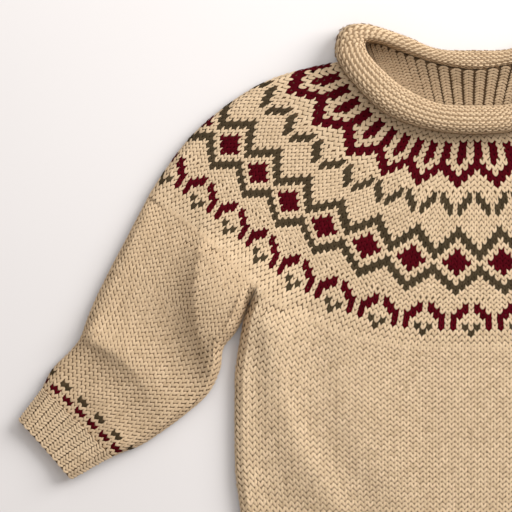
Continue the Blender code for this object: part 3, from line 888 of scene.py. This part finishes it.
def stitch_template(name, strands):
    """A stitch of one unit: each strand is three-sided and closes in a tip at both ends."""
    mesh_data = bmesh.new()
    bake_map = mesh_data.loops.layers.uv.new("OFBake")
    strand_map = mesh_data.loops.layers.uv.new("Strand")
    for lane, strand in enumerate(strands):
        points = np.array([station[:3] for station in strand])
        rings = []
        for station, point, (dx, dy) in zip(strand, points, unit(np.gradient(points[:, :2], axis=0))):
            ring = []
            for sideways, up in STRAND_SIDES if station.half else ((0.0, 0.0),):
                reach = sideways * station.half
                shift = (dy * reach, -dx * reach, up * station.half / FULL_HALF)
                ring.append(mesh_data.verts.new(point + shift))
            rings.append(ring)
        for i, j in np.ndindex(len(rings) - 1, 3):
            k = (j + 1) % 3
            corners = [(i, j), (i, k), (i + 1, k), (i + 1, j)]
            if len(rings[i]) == 1:
                corners = [(i, j), (i + 1, k), (i + 1, j)]
            if len(rings[i + 1]) == 1:
                corners = [(i, j), (i, k), (i + 1, j)]
            face = mesh_data.faces.new([rings[a][min(b, len(rings[a]) - 1)] for a, b in corners])
            face.smooth = True
            for loop, (a, b) in zip(face.loops, corners):
                turn = j + 1 if b == k and k == 0 else b
                if len(rings[a]) == 1:
                    turn = j + 0.5
                down = a / (len(rings) - 1)
                lane_place = (1 - LANE_FILL) / 2 + LANE_FILL * turn / 3
                loop[strand_map].uv = (turn / 3, down)
                loop[bake_map].uv = ((lane + lane_place) / len(strands), down)
        for before, after in zip(rings[:-1], rings[1:]):
            for foot in (0, -1):
                mesh_data.edges.get((before[foot], after[foot])).smooth = False
    bmesh.ops.recalc_face_normals(mesh_data, faces=mesh_data.faces)
    return bpy.data.objects.new(name, finished(name, mesh_data))


KNITTING_INPUTS = {
    "Geometry": "Geometry",
    "Stitch": "Object",
    "Wool": "Material",
    "Cell size": "Float",
    "Wobble": "Float",
    "Size spread": "Float",
    "Seed": "Int",
}


class GeometryTree(NodeTree):
    """A Geometry Nodes tree with named inputs."""

    def __init__(self, name, inputs):
        super().__init__(bpy.data.node_groups.new(name, "GeometryNodeTree"))
        self.tree.interface.new_socket("Geometry", in_out="OUTPUT", socket_type="NodeSocketGeometry")
        for label, kind in inputs.items():
            self.tree.interface.new_socket(label, in_out="INPUT", socket_type="NodeSocket" + kind)
        sockets = self.tree.nodes.new("NodeGroupInput").outputs
        self.given = {label: Value(self, sockets[label]) for label in inputs}

    def named(self, name):
        return self.node("GeometryNodeInputNamedAttribute", {"data_type": "FLOAT_VECTOR"}, Name=name)

    def vector(self, operation, first, **second):
        return self.node("ShaderNodeVectorMath", {"operation": operation}, n0=first, **second)

    def random(self, least, most):
        """A random vector between two, by the tree's own seed."""
        ways = {"data_type": "FLOAT_VECTOR"}
        return self.node("FunctionNodeRandomValue", ways, n0=least, n1=most, Seed=self.given["Seed"])

    def rotation(self, euler):
        return self.node("FunctionNodeEulerToRotation", Euler=euler)

    def end(self, geometry):
        self.join(self.tree.nodes.new("NodeGroupOutput").inputs[0], geometry)
        return self.tree


def knitting_tree():
    """Puts a stitch on each point, turned and sized by the point, and gives it its own bit of the map."""
    made = GeometryTree("knitting", KNITTING_INPUTS)
    given = made.given
    stitch = made.node("GeometryNodeObjectInfo", output="Geometry", Object=given["Stitch"])
    wobble = made.vector("SCALE", (1.0, 1.0, 1.0), Scale=given["Wobble"])
    random_turn = made.rotation(made.random(made.vector("SCALE", wobble, Scale=-1.0), wobble))
    turn = made.rotation(made.named("turn"))
    turn = made.node("FunctionNodeRotateRotation", {"rotation_space": "LOCAL"}, n0=turn, n1=random_turn)
    random_size = made.random(1.0 - given["Size spread"], 1.0 + given["Size spread"])
    size = made.vector("MULTIPLY", made.named("size"), n1=random_size)
    placed = made.node(
        "GeometryNodeInstanceOnPoints", Points=given["Geometry"], Instance=stitch, Rotation=turn, Scale=size
    )
    realized = made.node("GeometryNodeRealizeInstances", Geometry=placed)
    cell = made.vector("SCALE", made.named("OFBake"), Scale=given["Cell size"])
    cell = made.vector("ADD", cell, n1=made.named("cell"))
    ways = {"data_type": "FLOAT2", "domain": "CORNER"}
    stored = {"Geometry": realized, "Name": "OFBake", "Value": cell}
    mapped = made.node("GeometryNodeStoreNamedAttribute", ways, **stored)
    return made.end(made.node("GeometryNodeSetMaterial", Geometry=mapped, Material=given["Wool"]))


Knit = namedtuple("Knit", "places turns sizes yarns")


def turns_of(side, up, normal):
    """Euler angles that turn X, Y and Z to these directions."""
    roll, pitch = np.arctan2(up[:, 2], normal[:, 2]), np.arcsin(np.clip(-side[:, 2], -1, 1))
    return np.stack([roll, pitch, np.arctan2(side[:, 1], side[:, 0])], axis=1)


def knit(surface, across, along, wide, tall, yarns, thick=STITCH_THICK, sink=STITCH_SINK, face=1, fill=1.0):
    """Stitches on a surface: wide and tall are a stitch's steps across and along it."""
    here = surface(across, along)
    side = surface(across + wide / 2, along) - surface(across - wide / 2, along)
    up = surface(across, along - tall / 2) - surface(across, along + tall / 2)
    width, height = np.linalg.norm(side, axis=1) * fill, np.linalg.norm(up, axis=1)
    up = unit(up)
    side = unit(side - (side * up).sum(axis=1)[:, None] * up)
    normal = np.cross(side, up)
    if normal[:, 2].mean() * face < 0:
        side, normal = -side, -normal
    yarns = np.broadcast_to(yarns, len(here))
    fuller, prouder = 1 + COLOUR_FULL * abs(yarns), 1 + COLOUR_PROUD * abs(yarns)
    sizes = np.stack([width * fuller, height * fuller, thick * prouder], axis=1)
    places = here - normal * sink
    reach = abs(side[:, 2]) * sizes[:, 0] / 2 + abs(up[:, 2]) * sizes[:, 1] * STITCH_REACH
    reach += abs(normal[:, 2]) * thick * CROWN_REACH + FLOOR_CLEAR
    places[:, 2] = np.maximum(places[:, 2], reach)
    return Knit(places, turns_of(side, up, normal), sizes, yarns)


def join_knits(knits):
    return Knit(*(np.concatenate(parts) for parts in zip(*knits)))


def make_stitches(name, work, template, material, seed):
    """The stitches of one piece as a plain mesh."""
    count = len(work.places)
    mesh = bpy.data.meshes.new(name)
    mesh.vertices.add(count)
    mesh.vertices.foreach_set("co", (work.places * MM).astype(np.float32).ravel())
    grid = int(np.ceil(np.sqrt(count)))
    index = np.arange(count)
    cells = np.stack([index % grid, index // grid, 0 * index], axis=1) / grid
    for label, kind, field, values in (
        ("turn", "FLOAT_VECTOR", "vector", work.turns),
        ("size", "FLOAT_VECTOR", "vector", work.sizes * MM),
        ("cell", "FLOAT_VECTOR", "vector", cells + 0.5 * (1 - CELL_FILL) / grid),
        ("yarn", "FLOAT", "value", work.yarns),
        ("shade", "FLOAT", "value", np.random.default_rng(seed).normal(0.0, SHADE_SPREAD, count)),
    ):
        layer = mesh.attributes.new(label, kind, "POINT")
        layer.data.foreach_set(field, np.asarray(values, np.float32).ravel())
    points = in_scene(name + "_points", mesh)
    modifier = points.modifiers.new("knitting", "NODES")
    modifier.node_group = KNITTING
    inputs = {item.name: item.identifier for item in KNITTING.interface.items_tree if item.in_out == "INPUT"}
    for label, value in (
        ("Stitch", template),
        ("Wool", material),
        ("Cell size", CELL_FILL / grid),
        ("Wobble", WOBBLE),
        ("Size spread", SIZE_SPREAD),
        ("Seed", seed),
    ):
        modifier[inputs[label]] = value
    bpy.context.view_layer.update()
    graph = bpy.context.evaluated_depsgraph_get()
    made = bpy.data.meshes.new_from_object(points.evaluated_get(graph), depsgraph=graph)
    bpy.data.objects.remove(points)
    for label in ("turn", "size", "cell"):
        if label in made.attributes:
            made.attributes.remove(made.attributes[label])
    made.name = name
    made.uv_layers.active = made.uv_layers["OFBake"]
    return in_scene(name, made)


# ---------------- cloth behind the stitches


def make_cloth(name, outside, inside, yarns, material):
    """A closed thin wall between two sheets of points, with its map and its yarn numbers."""
    rows, columns = outside.shape[:2]
    mesh_data = bmesh.new()
    bake_map = mesh_data.loops.layers.uv.new("OFBake")
    yarn_layer = mesh_data.verts.layers.float.new("yarn")
    shade_layer = mesh_data.verts.layers.float.new("shade")
    behind_layer = mesh_data.faces.layers.float.new("behind")

    def sheet(points):
        """The corners of one side, by row and column."""
        made = {}
        for place in np.ndindex(rows, columns):
            made[place] = mesh_data.verts.new(points[place] * MM)
            made[place][yarn_layer] = yarns[place]
            # Painted shade: the cloth's corners take the darker end of their yarn's colour.
            made[place][shade_layer] = CLOTH_SHADE
        return made

    def cover(corners, places, behind=0.0):
        face = mesh_data.faces.new(corners)
        face.smooth = True
        face[behind_layer] = behind
        for loop, place in zip(face.loops, places):
            loop[bake_map].uv = place

    front, back = sheet(outside), sheet(inside)
    # The outside, just below the stitches, is marked behind: there its wool is darkened and warmed as painted
    # shade.
    for points, left, order, behind in ((front, 0.0, 1, 1.0), (back, INSIDE_MAP_LEFT, -1, 0.0)):
        for i, j in np.ndindex(rows - 1, columns - 1):
            steps = [(i, j), (i, j + 1), (i + 1, j + 1), (i + 1, j)][::order]
            places = [(left + SIDE_MAP_WIDTH * b / (columns - 1), a / (rows - 1)) for a, b in steps]
            cover([points[step] for step in steps], places, behind)
    edge = [(0, j) for j in range(columns)] + [(i, columns - 1) for i in range(1, rows)]
    edge += [(rows - 1, j) for j in range(columns - 2, -1, -1)] + [(i, 0) for i in range(rows - 2, 0, -1)]
    for index, (step, after) in enumerate(zip(edge, edge[1:] + edge[:1])):
        low, high = index / len(edge), (index + 1) / len(edge)
        places = [(EDGE_MAP[0], high), (EDGE_MAP[0], low), (EDGE_MAP[1], low), (EDGE_MAP[1], high)]
        cover([front[after], front[step], back[step], back[after]], places)
    bmesh.ops.recalc_face_normals(mesh_data, faces=mesh_data.faces)
    mesh = finished(name, mesh_data)
    mesh.materials.append(material)
    return in_scene(name, mesh)


def flat_size(points):
    """The width, length and area of a sheet of points laid flat, in metres."""
    width, length = (steps_between(points, axis).sum(axis=axis).max() * MM for axis in (1, 0))
    first = points[1:, 1:] - points[:-1, :-1]
    second = points[1:, :-1] - points[:-1, 1:]
    area = 0.5 * np.linalg.norm(np.cross(first, second), axis=-1).sum() * MM * MM
    return float(width), float(length), float(min(area, width * length))


def outwards(surface, across, along, face):
    """The directions in which a surface looks, up for face 1 and down for -1."""
    right, left = np.minimum(across + GRID_STEP, 1), np.maximum(across - GRID_STEP, -1)
    side = surface(right, along) - surface(left, along)
    up = surface(across, along - GRID_STEP) - surface(across, along + GRID_STEP)
    normal = unit(np.cross(unit(side), unit(up)))
    return normal if normal[..., 2].mean() * face > 0 else -normal


def place_piece(node, slot, cloth, middle, stitches):
    """Attaches one piece of cloth and the stitches on it to the root and hides the part they replace; the
    flat size of its middle, a sheet of points, is measured and not used.
    """
    width, length, area = flat_size(middle)
    for piece in (cloth, *stitches):
        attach(piece, "root")
    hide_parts(node)
    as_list(stitches)


# ---------------- the pieces

# How a tube is knitted: its rows, the stitches in a row, the yarn of each, and the wool that they share
Pattern = namedtuple("Pattern", "rows count_of yarn_of wool")


def grid_lines(half, spacing):
    """Places across a wall, close together at its folds."""
    inner = np.arange(FOLD_LINES[-1] + spacing, half + spacing / 2, spacing)
    one_side = 1 - np.concatenate([FOLD_LINES, np.minimum(inner, half)]) / half
    one_side[-1] = 0
    return np.concatenate([-one_side, one_side[-2::-1]])


def wall(node, slot, surface, inner, grid, face, stitches, rests_on, yarn_at=None, behind=None):
    """One wall, which looks up for face 1 and down for -1: thin cloth just below the stitches, and they."""
    across, along = np.meshgrid(*grid)
    outside = surface(across, along) - outwards(surface, across, along, face) * SHELL_SINK
    inside = inner(across, along)
    yarns = yarn_at(across, along) if yarn_at else np.zeros(across.shape)
    cloth = make_cloth(node + "_cloth", outside, inside, yarns, behind or CLOTH)
    place_piece(node, slot, cloth, (outside + inside) / 2, stitches)


def row_stitches(surface, half, pattern, face=1, **ways):
    """Every stitch of a tube's wall, row by row.

    Where the count isn't whole, the last stitches of a row lie on the folds."""
    parts = []
    for row in range(pattern.rows):
        count = pattern.count_of(row)
        whole = count if isinstance(count, int) else 2 * int(np.ceil(count / 2 - 0.25))
        columns = np.arange(whole) + 0.5 - whole / 2
        even = columns * 2 / count
        along = np.full(whole, (row + 0.5) / pattern.rows)
        wide = spread(even + 1 / count, half(along)) - spread(even - 1 / count, half(along))
        across, yarns = spread(even, half(along)), pattern.yarn_of(row, columns)
        parts.append(knit(surface, across, along, wide, 1 / pattern.rows, yarns, face=face, **ways))
    return join_knits(parts)


def rib_stitches(node, surface, ribs, rows, material, seed, fill=RIB_FILL, valley_sink=VALLEY_SINK):
    """Rib: a raised wale of stitches on each crest and purl bumps in each valley."""
    crests = (np.arange(ribs) + 0.5) / ribs * 2 - 1
    valleys = np.arange(1, ribs) / ribs * 2 - 1
    valley = {"fill": VALLEY_FILL, "thick": VALLEY_THICK, "sink": STITCH_SINK + valley_sink}
    made = []
    for name, across, template, ways in (
        ("_stitches", crests, STITCH, {"fill": fill}),
        ("_purls", valleys, PURL, valley),
    ):
        along = np.repeat((np.arange(rows) + 0.5) / rows, len(across))
        work = knit(surface, np.tile(across, rows), along, 2 / ribs, 1 / rows, OATMEAL, **ways)
        made.append(make_stitches(node + name, work, template, material, seed + len(made)))
    return made


def front_wall(name, slot, tube, grid, stitches, yarn_at=None):
    """The front of a tube, which lies on its back."""
    below = name + "_back_cloth"
    wall(name + "_front", slot, tube.front, tube.front_under, grid, 1, stitches, below, yarn_at)


def back_wall(name, slot, tube, grid, pattern, seed, yarn_at=None):
    """The back of a tube, with flatter stitches, which lies on the surface."""
    work = row_stitches(tube.back, tube.half, pattern, face=-1, **UNDER)
    stitches = [make_stitches(name + "_back_stitches", work, FLAT_STITCH, pattern.wool, seed)]
    wall(name + "_back", slot, tube.back, tube.back_upper, grid, -1, stitches, "pale_surface", yarn_at)


def plain_tube(name, tube, grid, pattern, seed):
    """A tube of stocking stitch."""
    work = row_stitches(tube.front, tube.half, pattern)
    stitches = [make_stitches(name + "_front_stitches", work, STITCH, pattern.wool, seed)]
    front_wall(name, "plain_knit", tube, grid, stitches)
    back_wall(name, "plain_knit", tube, grid, pattern, seed + 1)


def ribbed_tube(name, place, half, ribs, rows, about_half, seed):
    """A ribbed edge: its front with raised ribs and its back, flat on the surface."""
    tube = Tube(place, half, ribs=ribs)
    along = np.linspace(0, 1, rows + 1)
    stitches = rib_stitches(name + "_front", tube.front, ribs, rows, YARN, seed)
    front_wall(name, "ribbed_knit", tube, (np.linspace(-1, 1, ribs * RIB_LINES + 1), along), stitches)
    pattern = Pattern(rows, always(2 * ribs), plain, YARN)
    back_wall(name, "ribbed_knit", tube, (grid_lines(about_half, spacing=8), along), pattern, seed + 2)


def yoke_count(row):
    return [step.stitches for step in YOKE_ROUNDS if step.first_row <= row][-1]


def plain(row, columns):
    return np.full(len(columns), OATMEAL)


def yoke_yarn(row, columns):
    """The yarn of each stitch of a yoke row, by its column from the centre line."""
    yarns = plain(row, columns)
    for motif in YOKE_CHART:
        if motif.first_row <= row <= motif.last_row:
            turn = (columns - motif.centre) % motif.repeat
            away = np.minimum(turn, motif.repeat - turn)
            yarns[np.round(away) == motif.away] = motif.yarn
    return yarns


def yoke_yarn_at(across, along):
    """The same on a grid of places, for the cloth behind the stitches."""
    yarns = np.zeros(across.shape)
    for i, row in enumerate(np.clip((along[:, 0] * YOKE_ROWS).astype(int), 0, YOKE_ROWS - 1)):
        count = yoke_count(row)
        yarns[i] = yoke_yarn(row, np.floor((across[i] + 1) / 2 * count) + 0.5 - count / 2)
    return yarns


def sleeve_count(row):
    """Stitches of a sleeve's row: it narrows from the elbow to the cuff."""
    part = max(0.0, (row - SLEEVE_TAPER_FROM) / (SLEEVE_ROWS - 1 - SLEEVE_TAPER_FROM))
    return SLEEVE_STITCHES + (SLEEVE_END_STITCHES - SLEEVE_STITCHES) * part


def sleeve_yarn(row, columns):
    yarns = plain(row, columns)
    for dots in CUFF_DOTS:
        if row == SLEEVE_ROWS - dots.rows_up:
            yarns[(np.floor(columns) + dots.shift) % dots.repeat < 2] = dots.yarn
    return yarns


def yoke_filler(tube, along):
    """One deeper row below the yoke's last one, which fills the seam to the body and the sleeves."""
    count = YOKE_ROUNDS[-1].stitches
    across = spread((np.arange(count) + 1) / count * 2 - 1, tube.half(along))[:-1]
    places, sink = np.full(count - 1, along), STITCH_SINK + SEAM_STITCH_SINK
    return knit(tube.front, across, places, 2 / count, 1 / YOKE_ROWS, OATMEAL, sink=sink)


def make_yoke():
    def half(along):
        return course_length(along * YOKE_ROWS)

    front = Tube(
        lambda across, along: front_course(across, along * YOKE_ROWS),
        half,
        crown=lambda along: ease((along * YOKE_ROWS - CROWN_FROM_ROW) / CROWN_ROWS),
        clear=lambda along: ease((along * YOKE_ROWS - NECK_CLEAR_ROWS) / NECK_CLEAR_ROWS),
    )
    back = Tube(lambda across, along: back_course(across, along * YOKE_ROWS), half)
    pattern = Pattern(YOKE_ROWS, yoke_count, yoke_yarn, YARN)
    first, last = SEAM_ROWS / YOKE_ROWS, 1 - SEAM_ROWS / YOKE_ROWS
    grid = grid_lines(half=220, spacing=3), np.linspace(first, last, YOKE_LINES)
    work = join_knits([row_stitches(front.front, front.half, pattern), yoke_filler(front, last)])
    stitches = [make_stitches("yoke_front_stitches", work, STITCH, YARN, 11)]
    front_wall("yoke", "colourwork_knit", front, grid, stitches, yoke_yarn_at)
    back_wall("yoke", "colourwork_knit", back, grid, pattern, 12, yoke_yarn_at)


def make_body():
    tube = Tube(body_place, body_half, folded=body_folded, crown=lambda along: body_folded(0, along))
    grid = grid_lines(half=168, spacing=4), np.linspace(0, 1, BODY_LINES)
    plain_tube("body", tube, grid, Pattern(BODY_ROWS, always(BODY_STITCHES), plain, YARN), 21)
    ribbed_tube("hem", hem_place, hem_half, HEM_RIBS, HEM_ROWS, about_half=164, seed=31)


def make_sleeve(side, name, seed):
    tube = Tube(partial(sleeve_place, side), sleeve_half, folded=sleeve_folded, crown=sleeve_crown)
    grid = grid_lines(half=46, spacing=3.5), np.linspace(0, 1, SLEEVE_LINES)
    pattern = Pattern(SLEEVE_ROWS, sleeve_count, sleeve_yarn, SLEEVE_YARN_PAINTED_SHADE)
    plain_tube("sleeve_" + name, tube, grid, pattern, seed)
    place = partial(cuff_place, side)
    ribbed_tube("cuff_" + name, place, cuff_half, CUFF_RIBS, CUFF_ROWS, about_half=28, seed=seed + 2)


def make_neckband():
    ways = {"fill": NECK_RIB_FILL, "valley_sink": NECK_VALLEY_SINK}
    stitches = rib_stitches("neckband_back", band_surface, NECK_RIBS, NECK_RIB_ROWS, NECK_YARN_PAINTED_SHADE, 71, **ways)
    grid = np.linspace(-1, 1, NECK_RIBS * RIB_LINES + 1), np.linspace(0, 1, NECK_LINES)
    ways = {"rests_on": "yoke_back_cloth", "behind": NECK_CLOTH}
    wall("neckband_back", "ribbed_knit", band_surface, band_under, grid, 1, stitches, **ways)
    grid = np.linspace(-1, 1, FRONT_BAND_LINES_ACROSS), np.linspace(0, 1, FRONT_BAND_LINES)
    ways["behind"] = BAND_CLOTH_PAINTED_SHADE
    wall("neckband_front", "ribbed_knit", front_band_surface, front_band_under, grid, 1, [], **ways)


ROLL_FROM = np.radians(-62)
ROLL_TO = np.radians(242)
ROLL_SAMPLES = 400
ROLL_SAMPLES_OVER = 200


def roll_stitches(surface, first, last):
    """Purl bumps in rows that run round the neck."""
    stations = np.linspace(first, last, ROLL_SAMPLES)
    outer, lip, _ = roll_edges(stations)
    reached = distances((outer + lip) / 2)
    count = round(reached[-1] / COLLAR_STITCH)
    angles = np.linspace(ROLL_FROM, ROLL_TO, ROLL_SAMPLES_OVER)
    over = distances(surface((first + last) / 2, angles))
    rows = round(over[-1] / COLLAR_ROW)
    station = np.interp((np.arange(count) + 0.5) / count * reached[-1], reached, stations)
    parts = []
    for row in range(rows):
        start, angle, end = np.interp(np.array([row, row + 0.5, row + 1]) / rows * over[-1], over, angles)
        places = np.full(count, angle)
        parts.append(knit(surface, station, places, np.gradient(station), end - start, OATMEAL, **BUMP))
    return join_knits(parts)


def make_collar():
    for name, first, last, base, seed, rests_on in (
        ("collar_front", -ROLL_CORNER, ROLL_CORNER, ROLL_FRONT_BASE, 61, "yoke_front_cloth"),
        ("collar_back", ROLL_CORNER, 2 * ROLL_BEHIND - ROLL_CORNER, ROLL_BACK_BASE, 63, "pale_surface"),
    ):
        surface = roll_surface(base)
        work = roll_stitches(surface, first, last)
        bumps = make_stitches(name + "_stitches", work, PURL, ROLL_YARN_PAINTED_SHADE, seed)
        angles = np.linspace(ROLL_FROM, ROLL_TO, ROLL_LINES_OVER)
        grid = np.meshgrid(np.linspace(first, last, ROLL_LINES), angles)
        outside, inside = surface(*grid, ROLL_CLOTH_OUTSIDE), surface(*grid, ROLL_CLOTH_INSIDE)
        cloth = make_cloth(name + "_cloth", outside, inside, np.zeros(outside.shape[:2]), ROLL_CLOTH)
        place_piece(name, "rolled_knit", cloth, (outside + inside) / 2, [bumps])


# ---------------- the studio

# PIXEL is in millimetres. The other sizes and places of the studio are in metres, and the sensor's in
# millimetres, as cameras have it.
PIXEL = 0.70
FRAME_PIXELS = 512
CENTRE_LINE_PIXEL = 474
MIDDLE_PIXEL = 312
CAMERA_HEIGHT = 1.7
SENSOR = 36.0
FLOOR_SIZE = 3.0
FLOOR_DROP = 0.0003
ROOM_COLOUR = (1.0, 0.965, 0.940, 1.0)
ROOM_STRENGTH = 0.52
LIGHT_COLOUR = (1.0, 0.995, 0.985)


def make_camera():
    """Straight down on the left shoulder and sleeve, as the garment is framed."""
    centre_x = (FRAME_PIXELS / 2 - CENTRE_LINE_PIXEL) * PIXEL * MM
    centre_y = (MIDDLE_PIXEL - FRAME_PIXELS / 2) * PIXEL * MM
    lens = bpy.data.cameras.new("camera")
    lens.sensor_width = SENSOR
    lens.lens = SENSOR * (CAMERA_HEIGHT - FRONT_TOP * MM) / (FRAME_PIXELS * PIXEL * MM)
    lens.clip_end = 20
    camera = in_scene("camera", lens)
    camera.location = (centre_x, centre_y, CAMERA_HEIGHT)
    bpy.context.scene.camera = camera


def make_light(name, place, aim, size, power):
    data = bpy.data.lights.new(name, "AREA")
    data.shape = "DISK"
    data.size, data.energy, data.color = size, power, LIGHT_COLOUR
    light = in_scene(name, data)
    light.location = place
    light.rotation_euler = (Vector(aim) - Vector(place)).to_track_quat("-Z", "Y").to_euler()


def make_studio():
    mesh_data = bmesh.new()
    bmesh.ops.create_grid(mesh_data, x_segments=8, y_segments=8, size=FLOOR_SIZE)
    mesh = finished("pale_surface", mesh_data)
    mesh.transform(Matrix.Translation((0, 0, -FLOOR_DROP)))
    mesh.materials.append(paper_floor())
    in_scene("pale_surface", mesh)
    world = bpy.data.worlds.new("soft_room")
    world.use_nodes = True
    background = world.node_tree.nodes["Background"].inputs
    background["Color"].default_value = ROOM_COLOUR
    background["Strength"].default_value = ROOM_STRENGTH
    bpy.context.scene.world = world
    make_light("window", place=(1.15, 0.86, 0.95), aim=(-0.15, 0.10, 0), size=1.3, power=40)
    make_light("ceiling", place=(-0.15, 0.62, 0.60), aim=(-0.12, 0.20, 0), size=0.7, power=2.1)
    bpy.context.scene.view_settings.view_transform = "Standard"


YARN = wool("oatmeal_wool")
# Painted shade: the cloth between the stitches is much darker and warmer than the yarn where it shows.
CLOTH = wool("wool_between_stitches", painted_shade_factor=0.11, warm=0.80, plied=False)
# Painted shade: the neckband's yarn lies inside the neck in the roll's shade and is darkened and warmed, its
# cloth between the stitches still more, and the cloth of the front band under the roll as much as that yarn.
NECK_YARN_PAINTED_SHADE = wool("wool_inside_the_neck", painted_shade_factor=0.72, warm=0.97)
NECK_CLOTH = wool("wool_between_neck_stitches", painted_shade_factor=0.14, warm=0.82, plied=False)
BAND_CLOTH_PAINTED_SHADE = wool("wool_under_the_roll", painted_shade_factor=0.72, warm=0.97, plied=False)
# Painted shade: the roll's yarn is a touch darker and warmer than the body's, and the sleeves' yarn darker
# still, where less light falls; the cloth between the roll's bumps is darkened more.
ROLL_YARN_PAINTED_SHADE = wool("wool_of_the_roll", painted_shade_factor=0.98, warm=0.985)
ROLL_CLOTH = wool("wool_between_bumps", painted_shade_factor=0.42, warm=0.90, plied=False)
SLEEVE_YARN_PAINTED_SHADE = wool("wool_of_the_sleeves", painted_shade_factor=0.92, warm=0.98)
STITCH = stitch_template("stitch", (LEG, other_leg(LEG)))
FLAT_STITCH = stitch_template("flat_stitch", (FLAT_LEG, other_leg(FLAT_LEG)))
PURL = stitch_template("purl_bump", (PURL_HEAD, PURL_FOOT))
KNITTING = knitting_tree()

make_camera()
make_studio()
make_yoke()
make_body()
make_sleeve(LEFT, "left", 41)
make_sleeve(RIGHT, "right", 51)
make_neckband()
make_collar()
